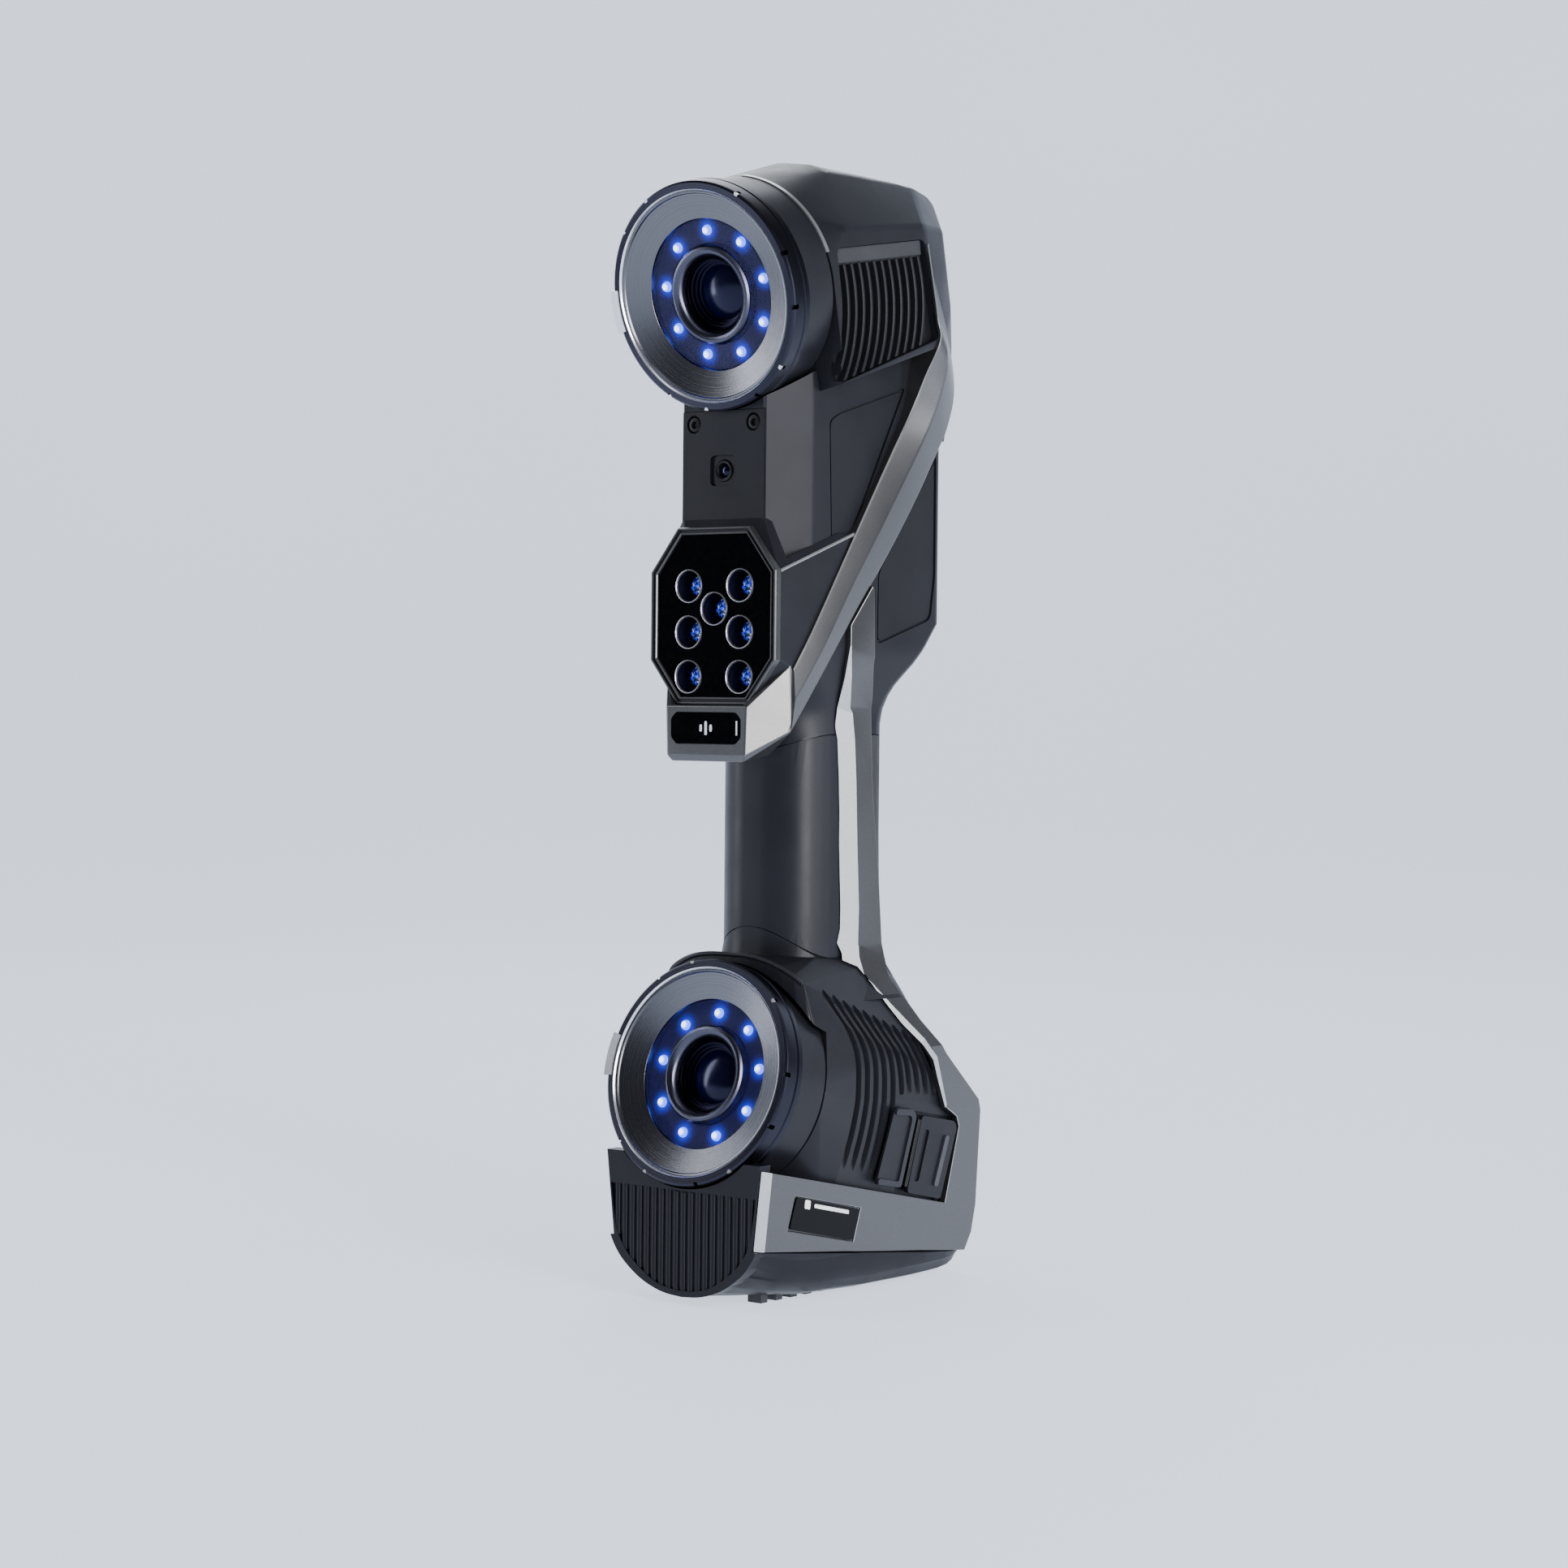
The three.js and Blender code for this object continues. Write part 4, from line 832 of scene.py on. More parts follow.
def build_projector():
    housing = bevelled(hull(both_sides(PROJECTOR)), 0.7, 3, angle=12)
    housing = carve(housing, box_between(-28.3, 28.3, -33, 20, -20, 90),
                    box_between(-40, 40, -44, -39.4, -20, 80), *cup_holes())
    finish("projector_housing", housing, CHARCOAL, "charcoal", sharp=22)
    # Painted highlight: thin strips of the near-white silver along the housing's two side edges.
    section = [(-1.1, 0.25), (-0.15, 0.25), (0.28, -0.15), (0.28, -0.75), (-1.1, -0.9)]
    lines = []
    for side, _ in SIDES:
        ends = ((29.95, -38.4, 43.1), (29.85, 6.5, 58.6))
        lines.append(for_side(loft([[(x + dx, y, z + dz) for dx, dz in section] for x, y, z in ends]), side))
    add_piece("projector_edge_lines", join_bmesh(*lines), SILVER_HIGHLIGHT, "silver")

    groove_y = -41.2
    rim = octagon_band([(0.0, -38.9), (0.0, -41.5), (0.25, -42.0), (0.85, -42.0), (1.0, groove_y),
                        (2.05, groove_y), (2.15, -41.8), (2.55, -41.8), (2.8, -41.4), (2.8, -38.9)],
                       octagon(30.35, 13.1, 59.6, -7.1))
    for face in rim.faces:
        depth = face.calc_center_median().y / MM
        face.material_index = 1 if abs(depth - groove_y) < 0.05 else 0
    finish("projector_frame", rim, [SILVER, DARK], "silver", sharp=20)

    glass = carve(front_prism(octagon(27.5, 12.1, 57.1, -4.6), -40.7, -38.9), *cup_holes())
    finish("projector_window", glass, BLACK_GLASS, "black_gloss", sharp=20)
    for i, (x, z) in enumerate(LASERS):
        where = Matrix.Translation(at(x, groove_y, z))
        cup = lathe([(6.35, 0.9), (6.45, 0.2), (6.3, -0.12), (6.05, -0.15), (5.85, 0.1), (5.75, 0.7),
                     (5.5, 4.6), (4.4, 6.9), (4.3, 7.4), (6.4, 7.4)], 72)
        for face in cup.faces:
            face.material_index = 0 if face.calc_center_median().y < 0.75 * MM else 1
        finish(f"laser_module_{i + 1}", cup, [CUP_RIM, BLACK_PLASTIC], "steel", matrix=where, sharp=50)
        dome = lathe([(0, 4.9), (1.5, 5.05), (2.8, 5.5), (3.8, 6.2), (4.3, 7.0), (4.3, 7.5), (0, 7.5)], 48)
        add_piece(f"laser_lens_{i + 1}", dome, LASER_LENS, "lens", matrix=where)


def badge_outline(half, top, bottom):
    flat, corner = half - 2.6, 2.6
    points = [(flat, top), (half, top - corner), (half, bottom + corner), (flat, bottom)]
    return rounded(mirrored(points), 0.8, 2)


def build_chin():
    chin = bevelled(hull(both_sides(CHIN)), 1.1, 4, angle=12)
    chin = carve(chin, front_prism(octagon(30.6, 13.1, 60, -7.4), -60, -38.3),
                 front_prism(badge_outline(17, -9.9, -22.1), -50, -44.2), *cup_holes()[-2:])
    finish("chin_cover", chin, SILVER, "silver", sharp=22)
    badge = bevelled(front_prism(badge_outline(16.8, -10.1, -21.9), -45.2, -43.9), 0.2)
    finish("chin_badge", badge, BLACK_GLASS, "black_gloss")
    marks = []
    for x, h in ((-2.4, 1.3), (0, 2.6), (2.4, 1.3)):
        bar = [(x - 0.55, -16 - h), (x + 0.55, -16 - h), (x + 0.55, -16 + h), (x - 0.55, -16 + h)]
        marks.append(front_prism(rounded(bar, 0.4, 3), -45.27, -45.1))
    marks.append(front_prism([(14.6, -18.6), (15.2, -18.6), (15.2, -13.2), (14.6, -13.2)], -45.3, -45.1))
    add_piece("chin_marks", join_bmesh(*marks), MARK, "silver")


# ---------- diagonal side bands
BAND = [  # left edge, crease and right edge, from the chin up to the pod
    [(30.4, -30.9, 6.4), (31.5, -30.9, -5), (29.4, -30.9, -17.2)],
    [(30.7, -20.3, 20.6), (31.9, -15.5, 13.2), (29.6, -5.2, 12.8)],
    [(30.5, -3, 45), (31.7, 2.5, 37.5), (29.6, 11.5, 32.5)],
    [(30.5, 12, 66.5), (31.7, 19, 58.5), (29.6, 27.6, 50.4)],
    [(30.9, 28, 90), (32.2, 36.5, 82), (29.8, 46, 73.5)],
    [(32.2, 38.6, 106.8), (33.8, 47.4, 99.4), (30.0, 59, 92)],
    [(36.2, 42.6, 121), (37.2, 51.8, 114.6), (31, 65, 103)],
    [(40.8, 45.8, 134.6), (40.3, 52.0, 129), (33.4, 66, 118)],
    [(41.0, 43.8, 143), (40.7, 46.4, 142), (38.4, 54, 138)],
    [(41.0, 40.4, 156), (40.9, 41.8, 156), (40.5, 43.2, 155.6)],
    [(40.9, 36.6, 171), (40.8, 37.8, 171.3), (40.5, 38.9, 171.5)],
]
BAND_ROOT = 24


def build_band(side, label):
    """A strip with a crease along it, eased at both edges and closed behind."""
    rings = []
    for left, crease, right in zip(*[smooth_line([row[k] for row in BAND]) for k in range(3)]):
        out = Vector((1, 0, 0))
        rings.append([
            Vector((BAND_ROOT, left.y, left.z)), left - out * 0.6, left,
            left + (crease - left) * 0.09 + out * 0.22, crease + (left - crease) * 0.07 - out * 0.02,
            crease + (right - crease) * 0.07 - out * 0.02, right + (crease - right) * 0.07 + out * 0.2,
            right, right - out * 0.6, Vector((BAND_ROOT, right.y, right.z))])
    band = carve(loft(rings), box_between(-27.9, 27.9, -70, 100, -60, 137), pod_solid())
    finish("band_" + label, for_side(band, side), SILVER, "silver", sharp=18)


# ---------- grip
GRIP_BACK = [(-112, 41), (-100, 40), (-80, 39.2), (-60, 38.5), (-14, 38.5)]


def grip_ring(z, half, front, back, front_r=20, back_r=10):
    corners = ((half - back_r, back - back_r, back_r), (back_r - half, back - back_r, back_r),
               (front_r - half, front + front_r, front_r), (half - front_r, front + front_r, front_r))
    ring = []
    for i, (cx, cy, r) in enumerate(corners):
        ring += [(x, y, z) for x, y in quarter(cx, cy, r, math.pi / 2 * i, 10)]
    return ring


def build_grip():
    rows = [grip_ring(z, 24, -17, table(GRIP_BACK, z)) for z in (-112, -100, -90, -80, -60, -40, -14)]
    for node, y0, y1, material, slot in (("grip_front", -60, 11.85, CHARCOAL, "charcoal"),
                                         ("grip_rear", 12.15, 90, RUBBER, "rubber")):
        shell = carve(loft(rows), box_between(-40, 40, y0, y1, -130, 20), operation="INTERSECT")
        shell = carve(shell, past_seam(upper_seam, -0.45, 60), past_seam(lower_seam, 0.45, -160))
        finish(node, bevelled(shell, 0.35, 2, angle=40), material, slot, sharp=35)
    core = loft([grip_ring(z, 23.4, -16.4, table(GRIP_BACK, z) - 0.6, 19.4, 9.4) for z in (-108, -10)])
    add_piece("grip_core", core, BLACK_PLASTIC, "dark")


# ---------- foot
ARCH = [(0, 46.9, 2.5), (9, 46.7, 2.5), (17, 45.6, 3), (24, 43.4, 4.6), (29.5, 40.8, 6.6), (33, 38.1, 9)]
FOOT = [
    (40, -12, -139), (40, -11.5, -152), (36, -17, -184), (24, -8, -103), (24, 36, -106), (31, 34, -125),
    (37.8, 46, -138.5), (37.8, 54, -150), (37, 76, -166), (32.5, 80, -206), (24, 81, -186), (33, 55, -206),
    (33, -14, -206),
]
DOOR_WELL = [(35.2, -164), (62.2, -169.2), (64.5, -172.6), (58, -202.2), (29.6, -196)]
FOOT_FINS = 11
FIN_PITCH = 5.8


def leaned(bm, side):
    pivot = Vector((side * FLANK_X, 0, LEAN_Z)) * MM
    turn = Matrix.Rotation(side * LEAN, 4, "Y")
    return turned(bm, Matrix.Translation(pivot) @ turn @ Matrix.Translation(-pivot))


def leaned_prism(outline, low, high, side):
    """A prism across one flank of the foot, leaning with it."""
    return leaned(side_prism(outline, low, high) if side > 0 else side_prism(outline, -high, -low), side)


def groove(surface, path, side):
    """A groove with sloping walls that follows a line across the flank and fades out at both ends."""
    line = smooth_line(path, 5)
    last = len(line) - 1
    rings = []
    for i, p in enumerate(line):
        ahead = (line[min(i + 1, last)] - line[max(i - 1, 0)]).normalized()
        across = Vector((ahead.y, -ahead.x))
        hit = surface.ray_cast(Vector((side * 60, p.x, p.y)) * MM, Vector((-side, 0, 0)))[0]
        x = abs(hit.x) / MM if hit else 38.0
        depth = (-0.5, 1.1, 1.9)[min(i, last - i, 2)]
        ring = []
        for height, reach in ((-depth, -1), (3, -3.1), (3, 3.1), (-depth, 1)):
            q = p + across * reach
            ring.append((side * (x + height), q.x, q.y))
        rings.append(ring)
    return loft(rings)


def fin_path(i, side):
    """(y, z) of one groove: down the shoulder, then down the flank, ending short above the door."""
    y, z = -16 + FIN_PITCH * i, -113.8 - 2.25 * i
    over_door = side > 0 and i > 4
    low = -157.5 - 0.6 * (i - 5) if over_door else -184 - 1.25 * i
    steps = ((0, 0), (6.5, -8.7), (12.6, -17.2), (14.8, -26), (14.6, -38), (13.6, -49))
    path = [(y + dy, z + dz) for dy, dz in steps if z + dz > low + 6]
    return [*path, (y + (15 if over_door else 9.5), low)]


def build_foot():
    arch = [camera_design(-1) @ Vector((x, d, z)) for x, z, d in ARCH]
    foot = hull([*camera_circle(-1, BARREL_R, BARREL_END + 0.3), *both_sides([tuple(p) for p in arch]),
                 *both_sides(FOOT)])
    folds = [e for e in foot.edges if fold(e) > 9 and e.calc_length() > 0.011
             and min(abs(v.co.x) for v in e.verts) > 0.0235]
    bevel_edges(foot, folds, 1.5, 3, profile=0.5, slide=False)
    surface = BVHTree.FromBMesh(foot)
    grooves = [groove(surface, fin_path(i, side), side) for side, _ in SIDES for i in range(FOOT_FINS)]
    foot = carve(foot, camera_room(-1, BEZEL_R + 0.5, -20, BARREL_END + 0.2), camera_room(-1, 37.4, -10, 40),
                 leaned_prism(DOOR_WELL, 36.4, 50, 1), box_between(22, 50, 39, 55, -191, -174))
    add_piece("lower_body_finished", carve(foot, *grooves), [CHARCOAL], "charcoal", sharp=38,
              replaces=["lower_body", "lower_fins_right", "lower_fins_left"])
    build_visor_lip()
    rows = [grip_ring(z, half, front, back) for z, half, front, back in (
        (-84, 24, -17, 39.3), (-98, 24, -17, 40), (-103, 24.4, -17.6, 40.4), (-107, 25.4, -19, 41.2),
        (-111, 27.2, -21.6, 42.2), (-115, 30, -25, 43.4), (-120, 33, -29, 44.5))]
    add_piece("foot_neck", carve(loft(rows), past_seam(lower_seam, 0, 20)), CHARCOAL, "charcoal", sharp=40)


def build_visor_lip():
    """The thin lip along the arch over the lower camera, from its left end to its right."""
    line = smooth_line([(x, d, z) for x, z, d in ARCH], 4)
    path = [*[Vector((-p.x, p.y, p.z)) for p in reversed(line)], *line[1:]]
    rings = []
    for p in path:
        out = Vector((p.x, 0, p.z)).normalized()
        rings.append([p + out * r + Vector((0, d, 0)) for r, d in (
            (0.35, -0.9), (0.5, 0.3), (0.1, 1.6), (-1.1, 1.6), (-1.3, -0.4), (-0.6, -1.0))])
    # Painted highlight: the lip is drawn in the half-lit charcoal copy.
    add_piece("foot_visor_lip", loft(rings), CHARCOAL_HALF_LIT_COPY, "charcoal", matrix=camera_matrix(-1), sharp=60)


# ---------- side frames
FRAME_X = [(-240, 32.8), (-166, 41.2), (-139.5, 41.2), (-126, 35.4), (-111, 28.9), (-99, 26.6), (-8, 26.6),
           (12, 30.4), (60, 30.2)]
FACET = [  # edge y and z, crease y and z, and how far the edge lies below the crease
    (4.5, 16, 4.9, 16, 0.1), (4.2, 4, 7.4, 3, 1.0), (3.4, -8, 11, -10, 1.7), (2.4, -20, 12.6, -20, 2.9),
    (0.8, -35, 13.7, -35, 3.7), (1, -60, 14.8, -60, 3.7), (2.2, -85, 16.2, -85, 3.7),
    (3.2, -103.2, 16.2, -99.5, 3.2), (9.5, -109.5, 15.6, -103.8, 2.0), (18.5, -118, 21.4, -114.8, 1.2),
    (27.5, -126, 29.5, -123.7, 1.1), (40.4, -138, 41.9, -136.3, 1.0), (47.2, -145, 48.6, -143.8, 0.9),
    (50, -152, 51.3, -151.5, 0.8), (54.6, -164, 55.4, -163.4, 0.4),
]
BADGE = [(-36.4, -190), (4.2, -199), (1.7, -211), (-38.9, -202)]


def build_frame(side, label):
    """The side frame, with the facet cut along its front and inner edges painted in the lit silver copy as a
    highlight.
    """
    wedge = []
    for y, z, crease_y, crease_z, drop in FACET:
        edge = Vector((table(FRAME_X, z) - drop, y, z))
        crease = Vector((table(FRAME_X, crease_z) + 0.03, crease_y, crease_z))
        past = edge + (edge - crease) * 0.4
        wedge.append([past, crease, crease + Vector((5, 0, 0)), past + Vector((5 + drop, 0, 0))])
    end = loft([[(38.0, -57, z), (41.25, -52.2, z), (47, -52.2, z), (47, -57, z)] for z in (-224, -172)])
    body = bevelled(cad_bmesh("side_frame_" + label), 0.4, 2, angle=40)
    body = carve(body, for_side(loft(wedge), side), leaned(for_side(end, side), side))
    body.normal_update()
    # Painted highlight: faces turned forward and outward, towards the lights, get the lit silver copy.
    for face in body.faces:
        lit_facet = face.normal.y < -0.12 and face.normal.x * side > 0.5
        face.material_index = 1 if lit_facet and face.calc_area() > MM ** 2 else 0
    finish("side_frame_" + label, body, [SILVER, SILVER_LIT_COPY], "silver", sharp=12)

    plate = bevelled(leaned_prism(rounded(BADGE, 1.8), 40.6, 41.45, side), 0.25)
    finish("side_badge_" + label, plate, BLACK_GLASS, "black_gloss")
    slope = -9 / 40.6  # along the badge's long edges
    marks = []
    for y, length, half in ((-31, 3.4, 1.7), (-25, 22, 0.75)):
        middle = -196.2 + (y + 17.3) * slope
        rise = length * slope
        bar = [(y, middle - half), (y + length, middle - half + rise), (y + length, middle + half + rise),
               (y, middle + half)]
        marks.append(leaned_prism(rounded(bar, 0.7, 3), 41.4, 41.52, side))
    add_piece(f"side_badge_{label}_marks", join_bmesh(*marks), MARK, "silver")


# ---------- bottom cover
TRAY = [  # y, half width, lowest z, how square the section is
    (-51.5, 36.4, -229.2, 0), (-38, 36.4, -229.8, 0.5), (-20, 36.4, -230.6, 0.9), (14, 36.4, -231.6, 1),
    (48, 36, -232, 1), (64, 35.2, -231.9, 1), (71, 34.4, -231.3, 1), (76, 33.2, -230, 1), (79, 31.8, -228, 1),
    (80.6, 29.6, -224.6, 1),
]
TRAY_TOP = -206.5
BOW = [(1, 0), (0.985, 0.1), (0.94, 0.22), (0.86, 0.38), (0.74, 0.56), (0.58, 0.74), (0.4, 0.87), (0.2, 0.96),
       (0, 1)]
BOX = [(1, 0), (1, 0.2), (1, 0.4), (0.995, 0.6), (0.965, 0.78), (0.89, 0.9), (0.74, 0.97), (0.45, 1), (0, 1)]
BIB = [(39.3, -176.5), (38.2, -190), (36.4, -205), (34.6, -210.5), (31, -215.8), (26.4, -220), (20.5, -223.9),
       (14.5, -226.5), (8, -228.2), (0, -228.9)]
OUTSIDE_FLANK = [(-70, -150), (-70, -208), (-55.8, -209.2), (75, -224.1), (86, -225), (86, -150)]
RIB = [(-1.25, -55.2), (-1.1, -55.9), (-0.6, -56.35), (0, -56.5), (0.6, -56.35), (1.1, -55.9), (1.25, -55.2)]
RIB_PITCH = 3.6


def tray_ring(y, half, bottom, square):
    """A section of the tray with two small steps down each side."""
    right = []
    for k, (bow, box) in enumerate(zip(BOW, BOX)):
        wide, down = mix(bow, box, square)
        x, z = half * wide, TRAY_TOP + (bottom - TRAY_TOP) * down
        right += [(x, z + 0.9), (x - 0.9 * square, z)] if k in (2, 4) else [(x, z)]
    return [(x, y, z) for x, z in mirrored(right)]


def build_bottom():
    tray = loft([tray_ring(*row) for row in TRAY])
    edge = front_prism(mirrored([tuple(p) for p in smooth_line(BIB, 4)]), -56.6, -50.5)
    foot_room = hull([*camera_circle(-1, BARREL_R + 0.4, BARREL_END),
                      *both_sides([*FOOT, (33, -26, -111.5)])])
    rim = [(x * 0.915, z + 2.6 - 0.4 * (z < -226)) for x, z in BIB[2:]]
    window = mirrored([tuple(p) for p in smooth_line([(35.4, -189), *rim], 4)])
    cover = carve(carve(edge, front_prism(window, -60, -55.4)), tray, operation="UNION")
    cover = carve(cover, camera_room(-1, BEZEL_R + 0.6, -20, BARREL_END + 8), foot_room,
                  *[leaned_prism(OUTSIDE_FLANK, 38.5, 60, side) for side, _ in SIDES])
    finish("bottom_cover", cover, DARK, "dark", sharp=28)

    ribs = []
    for i in range(-9, 10):
        section = [(RIB_PITCH * i + x, y) for x, y in RIB]
        ribs.append(loft([[(x, y, z) for x, y in section] for z in (-232, -186)]))
    grille = carve(join_bmesh(*ribs), front_prism(window, -60, -50), operation="INTERSECT")
    grille = carve(grille, camera_room(-1, BEZEL_R + 1.8, -20, BARREL_END + 8))
    add_piece("bib_ribs", grille, DARK, "dark", sharp=60)

    pads = [bevelled(box_between(x - 3.2, x + 3.2, -34 + 9 * i, -30 + 9 * i, -232.2, -227), 0.9, 3)
            for x in (-17, 17) for i in range(7)]
    add_piece("tray_pads", join_bmesh(*pads), RUBBER, "rubber")


# ---------- port door and latch
LEAF = [(39.3, -166), (61.6, -170.2), (63.6, -173), (57.3, -201), (34.4, -196)]
LEAF_SLOT = [(41.9, -171.6), (45.2, -172.2), (41.2, -192.4), (37.9, -191.8)]
LEAF_BAR = [(55.6, -175.2), (58.2, -175.7), (53.6, -195.5), (51, -195)]
LEAF_LIP = [(42.9, -173.2), (44.4, -173.5), (40.9, -191.2), (39.4, -190.9)]
LATCH = [(20.2, -161.1), (31.6, -162.4), (35.0, -165.4), (28.9, -193.4), (12.6, -190.4)]
LATCH_RIM = [(20.6, -161.4), (31.3, -162.7), (33.8, -165.6), (28.3, -193), (12.9, -190.2), (13.2, -188),
             (26.4, -190.6), (31.2, -166.4), (30.0, -164.9), (20.2, -163.7)]
PIN_ROOM = 1.35  # the bore over the pin's own diameter


def build_door():
    door = bevelled(side_prism(rounded(LEAF, 1.8), 38.9, 41.0), 0.45, 3)
    door = carve(door, side_prism(rounded(LEAF_SLOT, 1.4), 40.2, 45))
    lip = bevelled(side_prism(rounded(LEAF_LIP, 0.7), 39.9, 40.9), 0.25)
    bar = bevelled(side_prism(rounded(LEAF_BAR, 1.1), 40.6, 41.8), 0.4, 3)
    bore = cad_bmesh("hinge_pin")
    middle = sum((v.co for v in bore.verts), Vector()) / len(bore.verts)
    bmesh.ops.scale(bore, vec=[PIN_ROOM] * 3, space=Matrix.Translation(-middle), verts=bore.verts)
    finish("port_door", carve(leaned(join_bmesh(door, lip), 1), bore), CHARCOAL_SIDE, "charcoal",
           body="port_door")
    # Painted highlight: the raised bar is drawn in the lighter charcoal copy.
    add_piece("port_door_bar", leaned(bar, 1), CHARCOAL_LIT_COPY, "charcoal", body="port_door")

    plate = bevelled(side_prism(rounded(LATCH, 1.8), 40.5, 41.5), 0.3)
    finish("port_latch", leaned(plate, 1), CHARCOAL, "charcoal", body="port_latch")
    # Painted highlight: the raised rim is drawn in the half-lit charcoal copy.
    raised = bevelled(side_prism(rounded(LATCH_RIM, 1.2, 4), 41.3, 42.3), 0.42, 3)
    add_piece("port_latch_rim", leaned(raised, 1), CHARCOAL_HALF_LIT_COPY, "charcoal", body="port_latch")


# ---------- control panel and keys
KEYS = [  # node, x, z and radius; the way its arrow points, or None for the ring
    ("key_scan", 0, 62, 6.5, None), ("key_up", 0, 77, 4.5, (0, 1)), ("key_down", 0, 47, 4.5, (0, -1)),
    ("key_left", 12.5, 62, 4, (1, 0)), ("key_right", -12.5, 62, 4, (-1, 0)),
]
MARK_Y = 69.4


def key_mark(x, z, way):
    if way is None:
        return moved(lathe([(2.2, MARK_Y), (2.2, 69.64), (2.9, 69.66), (2.9, MARK_Y)], 48), x, 0, z)
    middle, ahead = Vector((x, z)), Vector(way)
    across = Vector((-ahead.y, ahead.x))
    base = middle - ahead * 1.1
    corners = [middle + ahead * 1.6, base + across * 1.8, base - across * 1.8]
    return front_prism([tuple(c) for c in corners], MARK_Y, 69.68)


def build_controls():
    outline = rounded([(-18.8, 37.2), (18.8, 37.2), (18.8, 89.8), (-18.8, 89.8)], 4.5, 8)
    panel = bevelled(front_prism(outline, 64.2, 68), 0.6, 3)
    panel = carve(panel, *[moved(cylinder(r + 0.3, -10, 10, 64), x, 66, z) for _, x, z, r, _ in KEYS])
    finish("control_panel", panel, DARK, "dark")
    collars = []
    for node, x, z, r, way in KEYS:
        collar = lathe([(r + 0.3, 67.2), (r + 0.3, 67.9), (r + 0.7, 68.35), (r + 1.3, 68.35), (r + 1.7, 67.9),
                        (r + 1.7, 67.2)], 64)
        collars.append(moved(collar, x, 0, z))
        cap = lathe([(0, 69.45), (r * 0.5, 69.5), (r * 0.78, 69.72), (r - 0.5, 69.8), (r - 0.12, 69.55),
                     (r, 69.1), (r, 63.7), (r + 1, 63.7), (r + 1, 62.6), (0, 62.6)], 64)
        finish(node, moved(cap, x, 0, z), KEY_RUBBER, "rubber", body=node)
        add_piece(node + "_mark", key_mark(x, z, way), MARK, "silver", body=node)
    # Painted highlight: the collars are drawn in the lighter charcoal copy.
    add_piece("key_collars", join_bmesh(*collars), CHARCOAL_LIT_COPY, "charcoal")


# ---------- the two cameras
NOTCH_ANGLES = (331, 32, 72, 99, 131.5, 153, 188, 212.5, 308)  # degrees from the top, clockwise
# Notches that get a painted highlight chip.
BRIGHT_NOTCHES = (331, 32, 131.5, 188)
LUG_ANGLE = 266
LOWER_PHASE = 15  # how far the lower bezel's notches are turned from the upper one's
# Between CONE_R and BRIGHT_R lies a polished chamfer, painted near-white as a highlight line.
CONE_R, BRIGHT_R = 39.15, 39.9  # where the machined cone ends, and the bright line beyond it


def notch(angle):
    block = box_between(-0.85, 0.85, -7, -3.2, BEZEL_R - 1.3, BEZEL_R + 1.3)
    return turned(block, Matrix.Rotation(math.radians(angle), 4, "Y"))


def build_bezel(label, where, phase):
    bezel = lathe([(28.4, 2.2), (28.4, -0.5), (28.65, -0.95), (38.1, -4.5), (38.5, -5.2), (39.0, -5.3),
                   (39.3, -4.9), (39.6, -5.6), (40.0, -6.0), (42.3, -6.0), (43.0, -5.4), (BEZEL_R, -4.6),
                   (BEZEL_R, 0.3), (42.8, 0.6), (42.8, 1.2), (BEZEL_R, 1.5), (BEZEL_R, 3.7), (42.9, 4.0),
                   (39.6, 4.0), (39.6, 2.2)], 144)
    bezel = carve(bezel, join_bmesh(*[notch(angle + phase) for angle in NOTCH_ANGLES]))
    # Painted highlight: faces between CONE_R and BRIGHT_R get the near-white silver.
    for face in bezel.faces:
        middle = face.calc_center_median()
        radius = math.hypot(middle.x, middle.z) / MM
        face.material_index = (radius >= CONE_R) + (radius >= BRIGHT_R)
    add_piece(label + "_bezel_finished", bezel, [MACHINED, SILVER_HIGHLIGHT, RIM], "machined", matrix=where,
              replaces=[label + "_bezel_ring"])
    # Painted highlights: bright chips at some notches and a bright lug, in the near-white silver.
    chips = [bevelled(arc_block(40.9, 43.0, -5.7, -4.6, angle + phase, 1.15, 4), 0.25)
             for angle in BRIGHT_NOTCHES]
    lug = bevelled(arc_block(40.6, 44.2, -6.5, -2, LUG_ANGLE + phase * 0.6, 11, 24), 0.45, 3)
    add_piece(label + "_bezel_lug", join_bmesh(*chips, lug), SILVER_HIGHLIGHT, "machined", matrix=where)


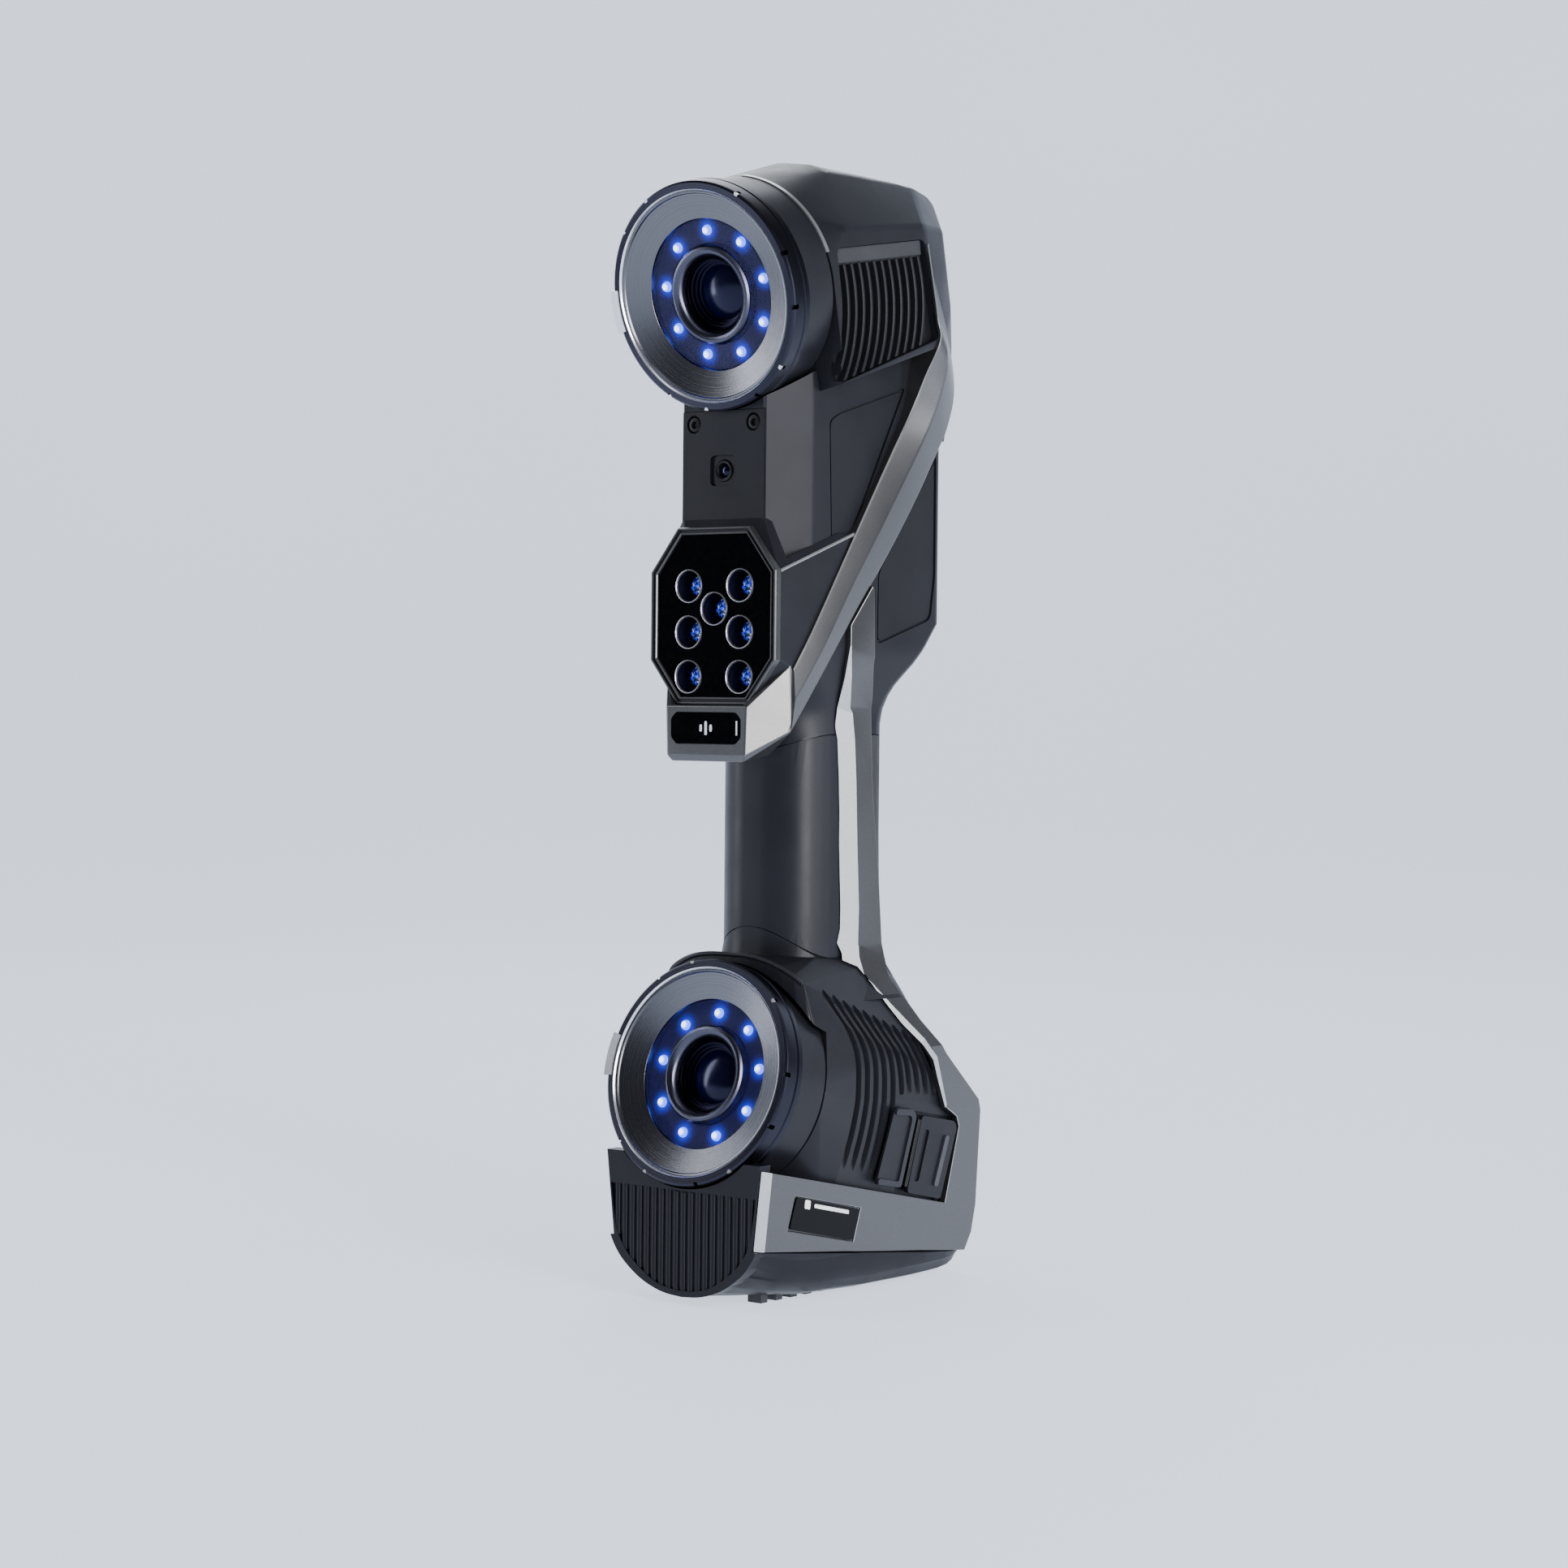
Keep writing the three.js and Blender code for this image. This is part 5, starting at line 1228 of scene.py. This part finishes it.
CAMERA_PARTS = [  # piece, the CAD node that it stands for, material, slot, segments and profile
    ("barrel_finished", "camera_barrel", CHARCOAL, "dark", 144, [
        (36.8, 4.3), (41.1, 4.3), (BARREL_R, 4.8), (BARREL_R, BARREL_END - 0.9),
        (BARREL_R - 0.6, BARREL_END - 0.3), (37, BARREL_END), (37, 25), (34.5, 25), (34.5, 12), (18.9, 12),
        (18.9, 9.5), (36.8, 9.5)]),
    ("filter_finished", "led_window", FILTER, "indigo_window", 128, [
        (18.9, -0.75), (19.15, -0.95), (27.85, -0.95), (28.1, -0.75), (28.1, 0.5), (27.9, 0.7), (19.1, 0.7),
        (18.9, 0.5)]),
    ("lamp_board_finished", "led_board", LAMP_BOARD, "lamp", 96, [
        (19.2, 3.0), (36.4, 3.0), (36.4, 4.6), (19.2, 4.6)]),
    ("trim_finished", "lens_trim_ring", TRIM, "machined", 128, [
        (13.7, 9.2), (13.7, 3.4), (14.1, 1.2), (14.8, -0.4), (15.9, -1.4), (16.9, -1.7), (17.9, -1.4),
        (18.5, -0.6), (18.5, 9.2)]),
    ("lens_collar", None, LENS_BLACK, "black_gloss", 112, [
        (13.5, 8.2), (13.5, 2.4), (12.9, 2.2), (12.7, 3.6), (12.1, 3.8), (12.0, 5.2), (11.3, 5.4),
        (11.2, 6.6), (10.4, 6.9), (10.4, 8.2)]),
    ("lens_finished", "lens_glass", LENS, "lens", 96, [
        (0, 4.6), (2.6, 4.75), (5.2, 5.2), (7.6, 5.95), (9.4, 6.8), (10.3, 7.4), (10.3, 9.0), (0, 9.0)]),
]
LAMP = [(0, 1.05), (0.7, 1.12), (1.3, 1.4), (1.75, 1.9), (1.95, 2.5), (1.95, 3.0), (0, 3.0)]


def build_camera(label, side):
    where = camera_matrix(side)
    build_bezel(label, where, 0 if side > 0 else LOWER_PHASE)
    for piece, node, material, slot, segments, profile in CAMERA_PARTS:
        add_piece(f"{label}_{piece}", lathe(profile, segments), material, slot, matrix=where,
                  replaces=[f"{label}_{node}"] if node else [])
    lamps = []
    for i in range(LAMPS):
        a = 2 * math.pi * i / LAMPS
        lamps.append(moved(lathe(LAMP, 24), LAMP_CIRCLE * math.sin(a), 0, LAMP_CIRCLE * math.cos(a)))
    add_piece(label + "_lamps", join_bmesh(*lamps), LAMP_CORE, "lamp", matrix=where)


# ---------- everything in its place
PLAIN_NODES = {  # inside the shells, so shown as the CAD has them
    "upper_camera_module": BLACK_PLASTIC, "lower_camera_module": BLACK_PLASTIC, "laser_block": STEEL,
    "hinge_pin": BLACK_PLASTIC, "chassis_spine": STEEL, "keypad_board": BOARD, "main_board": BOARD,
    "port_socket": BLACK_PLASTIC,
}


def build_scanner():
    build_camera("upper", 1)
    build_camera("lower", -1)
    build_pod()
    build_housing()
    build_plate()
    build_projector()
    build_chin()
    build_grip()
    for side, label in SIDES:
        build_band(side, label)
        build_frame(side, label)
    build_foot()
    build_bottom()
    build_door()
    build_controls()
    for node, material in PLAIN_NODES.items():
        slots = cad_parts[node].data.materials
        slots.clear()
        slots.append(material)


# ---------- floor, light and camera
def build_stage():
    """A sheet of pale paper that runs back and bends up into a wall."""
    floor_z = CAD_BOX[0][2]
    front, bend_start, bend, wall, half_width = -3.5, 1.6, 0.9, 3.2, 5.0
    profile = [(front, 0.0), (bend_start, 0.0)]
    for i in range(1, 13):
        a = math.pi / 2 * i / 12
        profile.append((bend_start + bend * math.sin(a), bend * (1 - math.cos(a))))
    profile.append((bend_start + bend, wall))
    bm = bmesh.new()
    rows = [[bm.verts.new((x, y, floor_z + z)) for y, z in profile] for x in (-half_width, half_width)]
    for i in range(len(profile) - 1):
        bm.faces.new((rows[0][i], rows[1][i], rows[1][i + 1], rows[0][i + 1]))
    mesh = bpy.data.meshes.new("studio_floor")
    bm.to_mesh(mesh)
    bm.free()
    for polygon in mesh.polygons:
        polygon.use_smooth = True
    paper = Surface("studio_paper", Roughness=0.9, Emission_Color=(0.78, 0.86, 1.0, 1), Emission_Strength=1.3)
    tint = paper.ramp(paper.noise(1.2, 2), (0.3, (0.26, 0.28, 0.32)), (0.7, (0.3, 0.32, 0.36)))
    paper.feed("Base Color", tint)
    mesh.materials.append(paper.data)
    floor = bpy.data.objects.new("studio_floor", mesh)
    floor.rotation_euler.z = math.radians(38)
    bpy.context.scene.collection.objects.link(floor)


# Azimuth is degrees from straight ahead of the scanner towards its port door's side.
LIGHTS = [  # name, azimuth, elevation, distance, width, height, watts, colour
    ("key", 69, 6, 1.5, 0.42, 1.3, 40, (1.0, 0.99, 0.97)),
    ("right_soft", 97, 6, 1.5, 0.4, 1.3, 12, (1.0, 0.99, 0.98)),
    ("right_edge", 121, 2, 1.6, 0.3, 1.4, 7, (0.97, 0.98, 1.0)),
    ("left_fill", -58, 14, 1.6, 0.4, 1.3, 13, (0.93, 0.96, 1.0)),
    ("top", 30, 74, 1.5, 0.8, 0.8, 3, (0.95, 0.97, 1.0)),
    ("rear_left", -140, 40, 1.5, 0.8, 1.4, 9, (0.95, 0.97, 1.0)),
]


def add_light(name, kind, power, color, location):
    data = bpy.data.lights.new(name, kind)
    data.energy = power
    data.color = color
    obj = bpy.data.objects.new(name, data)
    obj.location = location
    obj.visible_camera = False
    bpy.context.scene.collection.objects.link(obj)
    return obj


def build_lights():
    for name, azimuth, elevation, distance, width, height, power, color in LIGHTS:
        a, e = math.radians(azimuth), math.radians(elevation)
        place = distance * Vector((math.sin(a) * math.cos(e), -math.cos(a) * math.cos(e), math.sin(e)))
        light = add_light(name, "AREA", power, color, place)
        light.data.shape = "RECTANGLE"
        light.data.size = width
        light.data.size_y = height
        light.rotation_euler = (-place).to_track_quat("-Z", "Y").to_euler()
    for side, _ in SIDES:
        in_front = camera_matrix(side) @ Vector((0, -0.02, 0))
        spill = add_light("lamp_spill", "POINT", 0.022, (0.08, 0.12, 1.0), in_front)
        spill.data.shadow_soft_size = 0.012
        spill.visible_glossy = False
    world = bpy.data.worlds.new("studio")
    world.use_nodes = True
    background = world.node_tree.nodes["Background"]
    background.inputs["Color"].default_value = (0.86, 0.91, 1.0, 1)
    background.inputs["Strength"].default_value = 0.13
    bpy.context.scene.world = world


# The view of the product shot: a 78 mm lens from the front, on the port door's side.
VIEW_FROM = (817.38, -1030.8, -6.24)
VIEW_AZIMUTH, VIEW_DOWN, VIEW_ROLL = 38.345, 1.364, 0.549
VIEW_LENS = 78.305


def build_view():
    data = bpy.data.cameras.new("view")
    data.sensor_width = 36.0
    data.lens = VIEW_LENS
    view = bpy.data.objects.new("view", data)
    turn = Matrix.Rotation(math.radians(VIEW_AZIMUTH), 4, "Z")
    look = Matrix.Rotation(math.radians(90 - VIEW_DOWN), 4, "X")
    roll = Matrix.Rotation(math.radians(VIEW_ROLL), 4, "Z")
    view.matrix_world = Matrix.Translation(at(*VIEW_FROM)) @ turn @ look @ roll
    bpy.context.scene.collection.objects.link(view)
    bpy.context.scene.camera = view


build_scanner()
build_stage()
build_lights()
build_view()
